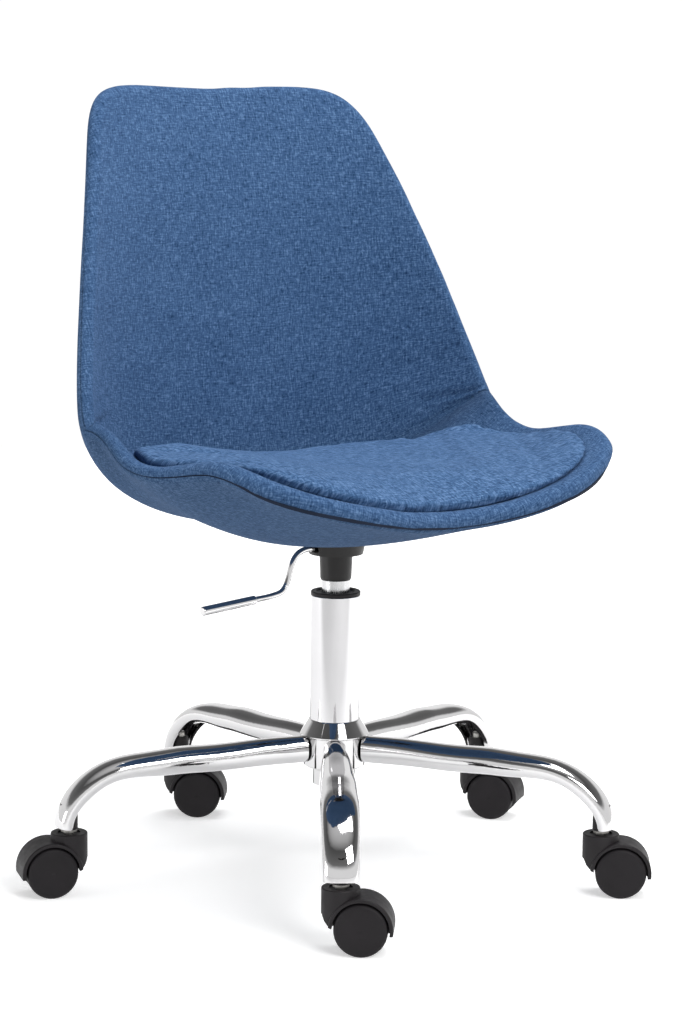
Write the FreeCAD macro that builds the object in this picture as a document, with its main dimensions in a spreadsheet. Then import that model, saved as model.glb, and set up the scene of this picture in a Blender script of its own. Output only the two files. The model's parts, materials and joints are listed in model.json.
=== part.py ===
import FreeCAD, Part
import math, os
from FreeCAD import Vector as V, Placement, Rotation

doc = FreeCAD.newDocument("SwivelOfficeChair")
Z = V(0, 0, 1)
O3 = V(0, 0, 0)

# ---------------------------------------------------------------- dimensions
dims = doc.addObject("Spreadsheet::Sheet", "Dims")
ROW = [0]


def put(alias, value):
    ROW[0] += 1
    dims.set("A%d" % ROW[0], alias)
    dims.set("B%d" % ROW[0], "%.5f" % value)
    dims.setAlias("B%d" % ROW[0], alias)


for alias, value in [
    # five star base
    ("hub_radius", 31.0), ("hub_bottom", 109.0), ("hub_top", 143.0), ("cone_top", 157.0), ("flange_radius", 34.6), ("flange_bottom", 140.6),
    ("hub_foot_radius", 21.3), ("hub_foot_bottom", 90.6), ("hub_foot_bore", 18.0),
    ("column_radius", 25.0), ("column_wall", 2.0), ("column_top", 283.0), ("column_bottom", 112.2),
    ("bush_radius", 22.95), ("bush_bore", 14.04), ("bush_bottom", 205.0), ("bush_top", 286.8),
    ("bush_rim_radius", 24.8), ("end_plate_bottom", 92.5), ("end_plate_top", 96.5),
    # gas lift
    ("rod_radius", 5.0), ("rod_neck_radius", 4.0), ("rod_bottom", 89.0), ("rod_top", 246.0),
    ("rod_head_top", 258.0), ("rod_head_radius", 3.0), ("piston_radius", 11.95), ("piston_top", 256.0),
    ("race_radius", 11.0), ("ball_radius", 1.95), ("ball_circle", 8.2), ("ball_height", 100.6),
    ("cylinder_radius", 14.0), ("cylinder_bore", 12.0), ("cylinder_bottom", 122.0),
    ("cylinder_top", 326.0), ("cylinder_cap", 312.0), ("valve_radius", 2.0), ("valve_top", 331.0),
    ("valve_bottom", 305.0),
    # seat plate
    ("socket_bottom", 298.0), ("socket_top", 324.3), ("socket_radius", 15.6), ("socket_top_radius", 16.6),
    ("plate_radius", 45.0), ("plate_top", 344.5), ("plate_gauge", 2.0), ("dish_bottom", 324.5),
    ("dish_radius", 27.0), ("dish_rim", 31.0), ("plate_slot", 11.0), ("slot_bottom", 327.6), ("slot_top", 338.5),
    ("bolt_x", 27.0), ("bolt_front", 27.0), ("bolt_rear", 27.0), ("bolt_radius", 2.95),
    ("bolt_head_radius", 5.2), ("bolt_head_height", 2.2), ("washer_radius", 6.6), ("washer_gauge", 0.8),
    ("boss_radius", 7.0), ("boss_bottom", 344.55), ("recess_depth", 6.0), ("recess_radius", 50.0), ("recess_edge", 86.0), ("cover_hole", 33.5), ("pocket_top", 352.4),
    # release lever
    ("pivot_x", 20.0), ("pivot_height", 332.2), ("pivot_radius", 1.5), ("eye_radius", 3.4),
    ("lever_radius", 3.0), ("grip_radius", 4.6), ("strip_gauge", 2.0), ("strip_width", 7.6),
    # legs
    ("stem_circle", 274.0), ("leg_wall", 2.2),
    # casters
    ("wheel_radius", 25.0), ("wheel_width", 13.6), ("wheel_inner", 7.0), ("wheel_trail", 19.5),
    ("hood_radius", 30.0), ("hood_gauge", 2.6), ("hood_half_width", 19.3), ("web_half", 6.6),
    ("cup_radius", 18.0), ("cup_top", 61.3), ("stem_radius", 5.0), ("stem_bottom", 39.0),
    ("stem_top", 91.7), ("stem_bore", 5.05), ("axle_radius", 3.0), ("axle_half", 18.0),
    ("collar_radius", 8.0), ("collar_bottom", 62.2), ("collar_top", 64.2),
    ("bushing_radius", 8.6), ("bushing_bottom", 65.0), ("bushing_top", 86.0),
    # upholstered bucket, offsets from its reference surface
    ("cover_out", -6.3), ("cover_in", -4.3), ("shell_out", -3.6), ("shell_in", -0.3),
    ("lining_out", -0.1), ("lining_in", 9.5), ("cushion_base", 9.9), ("cushion_top", 410.0), ("cushion_dish", 25.0), ("cushion_rear_rise", 5.0), ("cushion_least", 10.0), ("lip_swell", 4.0), ("lip_from", 0.30), ("lip_full", 0.08),
    ("cushion_edge", 4.0), ("edge_inset", 2.0),
]:
    put(alias, value)

# bucket stations: place along the profile, profile y and z, side rise y and z, side power
STATIONS = [
    (-0.080, -230.7, 384.1, 83.9, 35.0, 2.34), (-0.030, -206.6, 380.9, 66.3, 51.7, 2.34),
    (0.020, -177.6, 374.9, 52.1, 63.8, 2.33), (0.070, -145.2, 366.8, 40.2, 72.3, 2.31),
    (0.120, -110.5, 357.9, 29.9, 77.4, 2.29), (0.170, -74.9, 349.9, 20.0, 80.3, 2.27),
    (0.220, -39.5, 344.2, 9.8, 81.8, 2.25), (0.270, -5.1, 342.4, -1.8, 83.7, 2.23),
    (0.320, 28.3, 344.2, -15.7, 87.5, 2.21), (0.370, 60.4, 348.6, -32.2, 93.0, 2.32),
    (0.420, 90.3, 352.0, -49.6, 97.4, 2.48), (0.470, 116.5, 353.6, -65.3, 97.6, 2.64),
    (0.520, 136.8, 358.5, -76.7, 91.1, 2.81), (0.570, 150.8, 371.9, -83.0, 77.2, 2.97),
    (0.620, 159.7, 395.7, -85.9, 59.3, 3.13), (0.670, 165.2, 429.3, -86.9, 41.5, 3.20),
    (0.720, 168.3, 471.2, -87.7, 27.8, 3.08), (0.770, 170.6, 520.2, -88.0, 18.0, 2.89),
    (0.820, 173.6, 575.1, -87.2, 10.4, 2.70), (0.870, 178.8, 635.0, -84.7, 3.4, 2.51),
    (0.920, 188.4, 699.5, -79.7, -4.6, 2.32), (0.970, 205.3, 767.8, -71.6, -15.4, 2.13),
    (1.020, 231.4, 839.3, -59.7, -30.4, 2.02),
]
# rim of the bucket from front centre to top centre: half width, place along the profile
RIM = [
    (0.0, 0.0000), (66.4, -0.0143), (126.7, -0.0403), (175.4, -0.0557), (209.7, -0.0574),
    (228.7, -0.0490), (236.9, -0.0316), (242.0, -0.0045), (246.6, 0.0314), (249.3, 0.0739),
    (250.4, 0.1213), (252.1, 0.1726), (255.1, 0.2272), (257.0, 0.2849), (256.4, 0.3456),
    (256.2, 0.4095), (258.9, 0.4764), (262.7, 0.5450), (264.7, 0.6136), (262.4, 0.6811),
    (253.7, 0.7467), (239.4, 0.8079), (222.4, 0.8618), (205.2, 0.9062), (190.4, 0.9402),
    (177.1, 0.9636), (160.1, 0.9770), (135.1, 0.9822), (99.4, 0.9822), (52.7, 0.9799), (0.0, 0.9784),
]
# outline of the cushion from front centre to back centre
CUSHION = [
    (0.0, 0.018), (55.0, 0.010), (105.0, -0.004), (150.0, -0.014), (184.0, -0.010), (206.0, 0.010),
    (221.0, 0.042), (231.0, 0.088), (237.5, 0.147), (239.5, 0.215), (237.0, 0.288), (230.0, 0.358),
    (215.0, 0.418), (188.0, 0.464), (147.0, 0.494), (80.0, 0.512), (0.0, 0.518),
]
for i, s in enumerate(STATIONS):
    for tag, value in zip(("place", "prof_y", "prof_z", "rise_y", "rise_z", "power"), s):
        put("bucket_%s_%s" % (tag, "abcdefghijklmnopqrstuvw"[i]), value)
# leg stations: distance from the column, height of the centre, full width, full height, tilt
LEG = [
    (31.0, 127.6, 24.0, 26.6, 0.0), (60.0, 127.2, 26.0, 26.8, 0.0), (95.0, 126.2, 31.0, 26.4, 1.0),
    (135.0, 125.0, 35.0, 26.2, 1.5), (175.0, 124.2, 37.0, 25.2, 2.5), (205.0, 123.0, 37.2, 22.6, 6.0),
    (227.0, 120.2, 37.0, 20.8, 13.0), (246.0, 112.6, 36.6, 20.2, 27.0), (261.0, 101.6, 35.8, 20.0, 43.0),
    (271.5, 89.6, 34.8, 18.6, 58.0), (277.2, 78.6, 33.8, 17.4, 72.0), (279.4, 67.0, 33.2, 17.0, 82.0),
]
for i, s in enumerate(LEG):
    for tag, value in zip(("reach", "height", "width", "depth", "tilt"), s):
        put("leg_%s_%s" % (tag, "abcdefghijkl"[i]), value)
# base star: direction of each leg and resting direction of each caster, degrees about +Z
LEG_DIR = [-129.85, -57.85, 14.15, 86.15, 158.15]
CASTER_DIR = [-45.35, -44.35, -59.35, -44.35, 155.65]
for i in range(5):
    put("leg_dir_%s" % "abcde"[i], LEG_DIR[i])
    put("caster_dir_%s" % "abcde"[i], CASTER_DIR[i])
doc.recompute()


def D(alias):
    return float(dims.get(alias))


def val(e):
    return FreeCAD.Units.parseQuantity("0").Value if e == "0" else None


NODES = []


def keep(obj, label):
    obj.Label = label
    NODES.append(obj)
    return obj


# ---------------------------------------------------------------- PartDesign helpers
def origin(body, role):
    return [f for f in body.Origin.OriginFeatures if f.Role == role][0]


def number(e):
    """value of an expression made of sheet aliases and plain numbers"""
    total, sign, token = 0.0, 1.0, ""
    for part in e.replace("-", " - ").replace("+", " + ").split():
        if part == "-":
            sign = -1.0
        elif part == "+":
            sign = 1.0
        else:
            prod = 1.0
            for fct in part.split("*"):
                if fct.startswith("Dims."):
                    prod *= D(fct[5:])
                else:
                    prod *= float(fct)
            total += sign * prod
            sign = 1.0
    return total


def sketch(body, name, role, pts, holes=()):
    """closed polyline sketch, every corner placed by two bound distances"""
    sk = body.newObject("Sketcher::SketchObject", name)
    sk.AttachmentSupport = [(origin(body, role), "")]
    sk.MapMode = "FlatFace"
    n = len(pts)
    vals = [(number(a), number(b)) for a, b in pts]
    for i in range(n):
        a, b = vals[i], vals[(i + 1) % n]
        sk.addGeometry(Part.LineSegment(V(a[0], a[1], 0), V(b[0], b[1], 0)), False)
    import Sketcher
    for i in range(n):
        sk.addConstraint(Sketcher.Constraint("Coincident", i, 2, (i + 1) % n, 1))
    for i in range(n):
        for k, kind in ((0, "DistanceX"), (1, "DistanceY")):
            if abs(vals[i][k]) < 1e-9:
                sk.addConstraint(Sketcher.Constraint("PointOnObject", i, 1, -2 if k == 0 else -1))
            else:
                c = sk.addConstraint(Sketcher.Constraint(kind, -1, 1, i, 1, vals[i][k]))
                if "Dims" in pts[i][k]:
                    sk.setExpression("Constraints[%d]" % c, pts[i][k])
    for (cx, cy, r) in holes:
        g = sk.addGeometry(Part.Circle(V(number(cx), number(cy), 0), Z, number(r)), False)
        c = sk.addConstraint(Sketcher.Constraint("Radius", g, number(r)))
        if "Dims" in r:
            sk.setExpression("Constraints[%d]" % c, r)
        for e, kind, m in ((cx, "DistanceX", 0), (cy, "DistanceY", 1)):
            if abs(number(e)) < 1e-9:
                sk.addConstraint(Sketcher.Constraint("PointOnObject", g, 3, -2 if m == 0 else -1))
            else:
                c = sk.addConstraint(Sketcher.Constraint(kind, -1, 1, g, 3, number(e)))
                if "Dims" in e:
                    sk.setExpression("Constraints[%d]" % c, e)
    return sk


def turned(label, pts, chamfer=None):
    """body of revolution about +Z from (radius, height) corners"""
    body = doc.addObject("PartDesign::Body", "B_" + label)
    sk = sketch(body, "S_" + label, "XZ_Plane", pts)
    rev = body.newObject("PartDesign::Revolution", "R_" + label)
    rev.Profile = sk
    rev.ReferenceAxis = (sk, ["V_Axis"])
    rev.Angle = 360.0
    body.Tip = rev
    return keep(body, label)


def solid(label, shape):
    """Part::Feature for a shape that sketches and primitives don't reach"""
    f = doc.addObject("Part::Feature", "F_" + label)
    f.Shape = shape
    return keep(f, label)


def cyl(name, r, h, place, rot=None):
    c = doc.addObject("Part::Cylinder", name)
    c.setExpression("Radius", r)
    c.setExpression("Height", h)
    c.Placement = Placement(place, rot or Rotation())
    return c


# ---------------------------------------------------------------- base: hub and column
turned("base_hub", [
    ("Dims.hub_foot_bore", "Dims.hub_foot_bottom"), ("Dims.hub_foot_radius", "Dims.hub_foot_bottom"),
    ("Dims.hub_foot_radius", "Dims.hub_bottom - 3.0"), ("Dims.hub_radius - 1.5", "Dims.hub_bottom"),
    ("Dims.hub_radius", "Dims.hub_bottom + 1.5"), ("Dims.hub_radius", "Dims.flange_bottom"),
    ("Dims.flange_radius - 0.8", "Dims.flange_bottom"), ("Dims.flange_radius", "Dims.flange_bottom + 0.8"),
    ("Dims.flange_radius", "Dims.flange_bottom + 1.8"), ("Dims.column_radius + 1.2", "Dims.cone_top - 0.8"),
    ("Dims.column_radius + 0.6", "Dims.cone_top"),
    ("Dims.column_radius + 0.05", "Dims.cone_top"), ("Dims.column_radius + 0.05", "Dims.hub_bottom + 3.0"),
    ("Dims.hub_foot_bore", "Dims.hub_bottom + 3.0")])
turned("column_tube", [
    ("Dims.column_radius - Dims.column_wall", "Dims.column_bottom"), ("Dims.column_radius", "Dims.column_bottom"),
    ("Dims.column_radius", "Dims.column_top - 0.6"), ("Dims.column_radius - 0.6", "Dims.column_top"),
    ("Dims.column_radius - Dims.column_wall", "Dims.column_top")])
turned("column_guide_bush", [
    ("Dims.bush_bore", "Dims.bush_bottom"), ("Dims.bush_radius", "Dims.bush_bottom"),
    ("Dims.bush_radius", "Dims.column_top + 0.1"), ("Dims.bush_rim_radius", "Dims.column_top + 0.1"),
    ("Dims.bush_rim_radius", "Dims.bush_top - 0.8"), ("Dims.bush_rim_radius - 0.8", "Dims.bush_top"),
    ("20.2", "Dims.bush_top"), ("18.8", "Dims.bush_top - 1.6"), ("Dims.bush_bore", "Dims.bush_top - 1.6")])
turned("column_end_plate", [
    ("Dims.rod_neck_radius + 0.05", "Dims.end_plate_bottom"), ("Dims.hub_foot_bore - 0.05", "Dims.end_plate_bottom"),
    ("Dims.hub_foot_bore - 0.05", "Dims.end_plate_top"), ("Dims.rod_neck_radius + 0.05", "Dims.end_plate_top")])
turned("bearing_lower_race", [
    ("Dims.rod_radius + 0.4", "Dims.end_plate_top + 0.05"), ("Dims.race_radius", "Dims.end_plate_top + 0.05"),
    ("Dims.race_radius", "Dims.ball_height - Dims.ball_radius - 0.05"),
    ("Dims.rod_radius + 0.4", "Dims.ball_height - Dims.ball_radius - 0.05")])

# ---------------------------------------------------------------- gas lift rod
turned("piston_rod", [
    ("0", "Dims.rod_bottom"), ("Dims.rod_neck_radius", "Dims.rod_bottom"),
    ("Dims.rod_neck_radius", "Dims.end_plate_top + 0.3"), ("Dims.rod_radius", "Dims.end_plate_top + 0.3"),
    ("Dims.rod_radius", "Dims.rod_top"), ("Dims.rod_head_radius", "Dims.rod_top"),
    ("Dims.rod_head_radius", "Dims.rod_head_top"), ("0", "Dims.rod_head_top")])
turned("piston_head", [
    ("Dims.rod_head_radius + 0.02", "Dims.rod_top + 0.02"), ("Dims.piston_radius", "Dims.rod_top + 0.02"),
    ("Dims.piston_radius", "Dims.piston_top"), ("Dims.rod_head_radius + 0.02", "Dims.piston_top")])
turned("bearing_upper_race", [
    ("Dims.rod_radius + 0.02", "Dims.ball_height + Dims.ball_radius + 0.02"),
    ("Dims.race_radius", "Dims.ball_height + Dims.ball_radius + 0.02"),
    ("Dims.race_radius", "Dims.ball_height + Dims.ball_radius + 2.2"),
    ("Dims.rod_radius + 0.02", "Dims.ball_height + Dims.ball_radius + 2.2")])
turned("rod_clip", [
    ("Dims.rod_neck_radius + 0.02", "Dims.end_plate_bottom - 1.6"), ("7.0", "Dims.end_plate_bottom - 1.6"),
    ("7.0", "Dims.end_plate_bottom - 0.1"), ("Dims.rod_neck_radius + 0.02", "Dims.end_plate_bottom - 0.1")])
balls = []
for i in range(12):
    b = doc.addObject("Part::Sphere", "Ball%d" % i)
    b.setExpression("Radius", "Dims.ball_radius")
    a = math.radians(30 * i)
    b.Placement = Placement(V(D("ball_circle") * math.cos(a), D("ball_circle") * math.sin(a), D("ball_height")), Rotation())
    balls.append(b)
group = doc.addObject("Part::Compound", "BallGroup")
group.Links = balls
keep(group, "bearing_balls")

# ---------------------------------------------------------------- gas cylinder and seat plate
turned("gas_cylinder", [
    ("Dims.valve_radius + 0.05", "Dims.cylinder_cap"), ("Dims.cylinder_bore", "Dims.cylinder_cap"),
    ("Dims.cylinder_bore", "Dims.cylinder_bottom"), ("Dims.cylinder_radius - 0.5", "Dims.cylinder_bottom"),
    ("Dims.cylinder_radius", "Dims.cylinder_bottom + 0.5"), ("Dims.cylinder_radius", "Dims.cylinder_top - 1.0"),
    ("Dims.cylinder_radius - 1.0", "Dims.cylinder_top"), ("Dims.valve_radius + 0.05", "Dims.cylinder_top")])
turned("rod_seal", [
    ("Dims.rod_radius + 0.05", "Dims.cylinder_bottom + 1.0"), ("Dims.cylinder_bore - 0.02", "Dims.cylinder_bottom + 1.0"),
    ("Dims.cylinder_bore - 0.02", "Dims.cylinder_bottom + 11.0"), ("Dims.rod_radius + 0.05", "Dims.cylinder_bottom + 11.0")])
turned("release_pin", [
    ("0", "Dims.valve_bottom"), ("Dims.valve_radius", "Dims.valve_bottom"),
    ("Dims.valve_radius", "Dims.valve_top - 0.6"), ("Dims.valve_radius - 0.6", "Dims.valve_top"),
    ("0", "Dims.valve_top")])
turned("taper_socket", [
    ("Dims.cylinder_radius + 0.02", "Dims.socket_bottom"), ("Dims.socket_radius - 0.8", "Dims.socket_bottom"),
    ("Dims.socket_radius", "Dims.socket_bottom + 2.0"), ("Dims.socket_top_radius", "Dims.socket_top"),
    ("Dims.cylinder_radius + 0.02", "Dims.socket_top")])

# stamped plate: dish and flange turned, lever slot and bolt holes pocketed
plate = doc.addObject("PartDesign::Body", "B_seat_plate")
sk = sketch(plate, "S_plate", "XZ_Plane", [
    ("Dims.cylinder_radius + 0.1", "Dims.dish_bottom"), ("Dims.dish_radius", "Dims.dish_bottom"),
    ("Dims.dish_rim", "Dims.plate_top - Dims.plate_gauge"), ("Dims.plate_radius", "Dims.plate_top - Dims.plate_gauge"),
    ("Dims.plate_radius", "Dims.plate_top"), ("Dims.dish_rim - 2.0", "Dims.plate_top"),
    ("Dims.dish_radius - 1.8", "Dims.dish_bottom + Dims.plate_gauge"),
    ("Dims.cylinder_radius + 0.1", "Dims.dish_bottom + Dims.plate_gauge")])
rev = plate.newObject("PartDesign::Revolution", "R_plate")
rev.Profile = sk
rev.ReferenceAxis = (sk, ["V_Axis"])
rev.Angle = 360.0
doc.recompute()
before = plate.Shape.Volume
sk = sketch(plate, "S_plate_holes", "XY_Plane", [],
    holes=[("Dims.bolt_x", "Dims.bolt_rear", "Dims.bolt_radius + 0.05"), ("-1.0*Dims.bolt_x", "Dims.bolt_rear", "Dims.bolt_radius + 0.05"),
           ("Dims.bolt_x", "-1.0*Dims.bolt_front", "Dims.bolt_radius + 0.05"), ("-1.0*Dims.bolt_x", "-1.0*Dims.bolt_front", "Dims.bolt_radius + 0.05")])
sk.AttachmentOffset = Placement(V(0, 0, D("plate_top") - 5.0), Rotation())
sk.setExpression("AttachmentOffset.Base.z", "Dims.plate_top - 5.0")
cut = plate.newObject("PartDesign::Pocket", "P_plate")
cut.Profile = sk
cut.Length = 20.0
cut.Reversed = True
doc.recompute()
assert plate.Shape.Volume < before - 150.0
before = plate.Shape.Volume
sk = sketch(plate, "S_plate_slot", "YZ_Plane", [
    ("-0.5*Dims.plate_slot", "Dims.slot_bottom"), ("0.5*Dims.plate_slot", "Dims.slot_bottom"),
    ("0.5*Dims.plate_slot", "Dims.slot_top"), ("-0.5*Dims.plate_slot", "Dims.slot_top")])
sk.AttachmentOffset = Placement(V(0, 0, -60.0), Rotation())
cut = plate.newObject("PartDesign::Pocket", "P_plate_slot")
cut.Profile = sk
cut.Length = 40.0
cut.Reversed = True
doc.recompute()
assert plate.Shape.Volume < before - 100.0
plate.Tip = cut
keep(plate, "seat_plate")

# bracket that carries the lever pivot inside the dish
br = doc.addObject("PartDesign::Body", "B_lever_bracket")
sk = sketch(br, "S_bracket", "YZ_Plane", [
    ("-7.0", "Dims.dish_bottom + Dims.plate_gauge + 0.05"), ("7.0", "Dims.dish_bottom + Dims.plate_gauge + 0.05"), ("7.0", "Dims.pivot_height + 3.4"),
    ("5.2", "Dims.pivot_height + 3.4"), ("5.2", "Dims.dish_bottom + Dims.plate_gauge + 1.1"), ("-5.2", "Dims.dish_bottom + Dims.plate_gauge + 1.1"),
    ("-5.2", "Dims.pivot_height + 3.4"), ("-7.0", "Dims.pivot_height + 3.4")])
sk.setExpression("AttachmentOffset.Base.z", "-1.0*Dims.pivot_x - 3.0")
pad = br.newObject("PartDesign::Pad", "Pad_bracket")
pad.Profile = sk
pad.Length = 6.0
doc.recompute()
sk = body_sk = br.newObject("Sketcher::SketchObject", "S_bracket_hole")
sk.AttachmentSupport = [(origin(br, "XZ_Plane"), "")]
sk.MapMode = "FlatFace"
import Sketcher
g = sk.addGeometry(Part.Circle(V(-D("pivot_x"), D("pivot_height"), 0), Z, D("pivot_radius") + 0.02), False)
c = sk.addConstraint(Sketcher.Constraint("Radius", g, D("pivot_radius") + 0.02))
sk.setExpression("Constraints[%d]" % c, "Dims.pivot_radius + 0.02")
c = sk.addConstraint(Sketcher.Constraint("DistanceX", -1, 1, g, 3, -D("pivot_x")))
sk.setExpression("Constraints[%d]" % c, "-Dims.pivot_x")
c = sk.addConstraint(Sketcher.Constraint("DistanceY", -1, 1, g, 3, D("pivot_height")))
sk.setExpression("Constraints[%d]" % c, "Dims.pivot_height")
doc.recompute()
before = br.Shape.Volume
cut = br.newObject("PartDesign::Pocket", "P_bracket")
cut.Profile = sk
cut.Type = 1
cut.Midplane = True
doc.recompute()
if br.Shape.Volume > before - 5:
    cut.Type = 0
    cut.Length = 40.0
    cut.Midplane = True
    doc.recompute()
assert br.Shape.Volume < before - 5.0
br.Tip = cut
keep(br, "lever_bracket")
pin = cyl("LeverPin", "Dims.pivot_radius", "14.0", V(-D("pivot_x"), 7.0, D("pivot_height")), Rotation(V(1, 0, 0), 90))
pin.setExpression("Placement.Base.x", "-Dims.pivot_x")
pin.setExpression("Placement.Base.z", "Dims.pivot_height")
keep(pin, "lever_pivot_pin")


# ---------------------------------------------------------------- bucket surface
def curve(xs, ys):
    """natural cubic through the stations"""
    n = len(xs)
    h = [xs[i + 1] - xs[i] for i in range(n - 1)]
    a = [0.0] * n
    b = [1.0] * n
    c = [0.0] * n
    d = [0.0] * n
    for i in range(1, n - 1):
        a[i] = h[i - 1]
        b[i] = 2 * (h[i - 1] + h[i])
        c[i] = h[i]
        d[i] = 6 * ((ys[i + 1] - ys[i]) / h[i] - (ys[i] - ys[i - 1]) / h[i - 1])
    for i in range(1, n):
        w = a[i] / b[i - 1]
        b[i] -= w * c[i - 1]
        d[i] -= w * d[i - 1]
    m = [0.0] * n
    m[-1] = d[-1] / b[-1]
    for i in range(n - 2, -1, -1):
        m[i] = (d[i] - c[i] * m[i + 1]) / b[i]

    def f(t):
        i = 0
        while i < n - 2 and t > xs[i + 1]:
            i += 1
        u = (t - xs[i]) / h[i]
        v = 1 - u
        return v * ys[i] + u * ys[i + 1] + h[i] * h[i] / 6 * ((v ** 3 - v) * m[i] + (u ** 3 - u) * m[i + 1])
    return f


letters = "abcdefghijklmnopqrstuvw"
PL = [D("bucket_place_%s" % q) for q in letters]
FY, FZ, GY, GZ, PW = [curve(PL, [D("bucket_%s_%s" % (tag, q)) for q in letters])
                      for tag in ("prof_y", "prof_z", "rise_y", "rise_z", "power")]


def ref(x, s):
    q = (abs(x) / 250.0) ** PW(s)
    return V(x, FY(s) + GY(s) * q, FZ(s) + GZ(s) * q)


def bucket(x, s, off):
    e = 0.5
    du = ref(x + e, s) - ref(x - e, s)
    dv = ref(x, s + 0.001) - ref(x, s - 0.001)
    nn = du.cross(dv)
    nn.normalize()
    return ref(x, s) + nn * off


def outline(table, inset=0.0):
    k = [i / (len(table) - 1.0) for i in range(len(table))]
    fx, fs = curve(k, [p[0] for p in table]), curve(k, [p[1] for p in table])
    mid = 0.5 * (table[0][1] + table[-1][1])
    run = 0.5 * (table[-1][1] - table[0][1]) * 900.0
    k1 = 1.0 - inset / 250.0
    k2 = 1.0 - inset / run

    def f(t):
        return max(0.0, fx(t)) * k1, mid + (fs(t) - mid) * k2
    return f


def net(table, t1, t2, inset, nu, nv):
    """rectangular net (x, place) that fills a rounded outline: corners at t1 and t2"""
    f = outline(table, inset)
    s0, s1 = f(0.0)[1], f(1.0)[1]
    rows = []
    for j in range(nv + 1):
        b = j / float(nv)
        b = b * 0.75 + 0.25 * (0.5 - 0.5 * math.cos(math.pi * b))
        row = []
        sx, ss = f(t1 + (t2 - t1) * b)
        for i in range(nu + 1):
            a = i / float(nu)
            a = a * 0.6 + 0.4 * math.sin(math.pi / 2 * a)
            bx, bs = f(t1 * a)
            tx, ts = f(1.0 - (1.0 - t2) * a)
            c10, c11 = f(t1), f(t2)
            x = (1 - b) * bx + b * tx + a * sx - ((1 - b) * a * c10[0] + b * a * c11[0])
            s = ((1 - b) * bs + b * ts + (1 - a) * (s0 + (s1 - s0) * b) + a * ss
                 - ((1 - a) * (1 - b) * s0 + a * (1 - b) * c10[1] + (1 - a) * b * s1 + a * b * c11[1]))
            row.append((x, s, a, b))
        rows.append([(-p[0], p[1], -p[2], p[3]) for p in row[:0:-1]] + row)
    return rows


def face(rows):
    srf = Part.BSplineSurface()
    srf.interpolate(rows)
    return srf


def closed(low, high):
    """solid between two nets of points that share an outline layout"""
    lo, hi = face(low), face(high)
    faces = [lo.toShape(), hi.toShape()]
    for side in range(4):
        if side == 0:
            a, b = lo.vIso(lo.bounds()[2]), hi.vIso(hi.bounds()[2])
        elif side == 1:
            a, b = lo.vIso(lo.bounds()[3]), hi.vIso(hi.bounds()[3])
        elif side == 2:
            a, b = lo.uIso(lo.bounds()[0]), hi.uIso(hi.bounds()[0])
        else:
            a, b = lo.uIso(lo.bounds()[1]), hi.uIso(hi.bounds()[1])
        faces.append(Part.makeRuledSurface(a.toShape(), b.toShape()))
    sh = Part.makeShell(faces) if False else None
    import itertools
    cmp = Part.Compound(faces)
    cmp.sewShape(1e-4) if hasattr(cmp, "sewShape") else None
    shell = cmp.Shells[0] if cmp.Shells else Part.Shell(faces)
    s = Part.Solid(shell)
    if s.Volume < 0:
        s.reverse()
    return s


T1, T2 = 0.175, 0.835
NET = net(RIM, T1, T2, D("edge_inset"), 12, 34)
NET_COVER = NET


def recess(p):
    """lift of the shell over the seat plate"""
    r = math.hypot(p.x, p.y)
    if p.z > 420.0 or r >= D("recess_edge"):
        return 0.0
    u = min(1.0, (D("recess_edge") - r) / (D("recess_edge") - D("recess_radius")))
    return D("recess_depth") * u * u * (3 - 2 * u)


def swell(s):
    """extra pad thickness towards the front lip"""
    u = max(0.0, min(1.0, (D("lip_from") - s) / (D("lip_from") - D("lip_full"))))
    return D("lip_swell") * u * u * (3 - 2 * u)


def layer(n, off, lifted=False, lip=False):
    return [[bucket(x, s, off + (recess(ref(x, s)) if lifted else 0.0) + (swell(s) if lip else 0.0)) for (x, s, a, b) in row] for row in n]


shell_solid = closed(layer(NET, D("shell_out"), True), layer(NET, D("shell_in"), True))
cover_solid = closed(layer(NET, D("cover_out")), layer(NET, D("cover_in")))
lining_solid = closed(layer(NET, D("lining_out"), True), layer(NET, D("lining_in"), lip=True))

bolts = [(sx * D("bolt_x"), y) for sx in (-1, 1) for y in (-D("bolt_front"), D("bolt_rear"))]
seat_of = []
for (x, y) in bolts:
    s = 0.25
    for _ in range(40):
        s -= (ref(x, s).y - y) / ((ref(x, s + 0.001).y - ref(x, s - 0.001).y) / 0.002)
    top = ref(x, s).z + D("shell_in") + D("recess_depth")
    seat_of.append(top)
    boss = Part.makeCylinder(D("boss_radius"), top - D("boss_bottom"), V(x, y, D("boss_bottom")))
    shell_solid = shell_solid.fuse(boss)
for (x, y) in bolts:
    shell_solid = shell_solid.cut(Part.makeCylinder(D("bolt_radius") + 0.1, 40.0, V(x, y, D("boss_bottom") - 10.0)))
for (x, y), top in zip(bolts, seat_of):
    shell_solid = shell_solid.cut(Part.makeCylinder(D("washer_radius") + 0.3, 10.0, V(x, y, top + 0.05)))
    lining_solid = lining_solid.cut(Part.makeCylinder(D("washer_radius") + 0.4, top + 3.3 - 340.0, V(x, y, 340.0)))
cover_solid = cover_solid.cut(Part.makeCylinder(D("cover_hole"), 40.0, V(0, 0, 320.0)))
solid("seat_shell", shell_solid)
solid("rear_cover", cover_solid)
solid("inner_lining", lining_solid)

CN = net(CUSHION, 0.30, 0.74, 0.0, 10, 18)


def crown(x, s, a, b):
    """height of the cushion's top over its base: a dished, nearly level top with rounded edges"""
    base = bucket(x, s, D("cushion_base") + swell(s)).z
    top = D("cushion_top") + D("cushion_dish") * (abs(x) / 225.0) ** 3 + D("cushion_rear_rise") * b
    full = top - base
    least = D("cushion_least")
    full = 0.5 * (full + least + math.sqrt((full - least) ** 2 + 36.0))
    ra = min(1.0, abs(a))
    rb = min(1.0, abs(2 * b - 1))
    k = (1 - ra ** 5) * (1 - rb ** (9 if b > 0.5 else 4.5))
    return D("cushion_edge") + full * math.sqrt(max(0.0, k))


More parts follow.
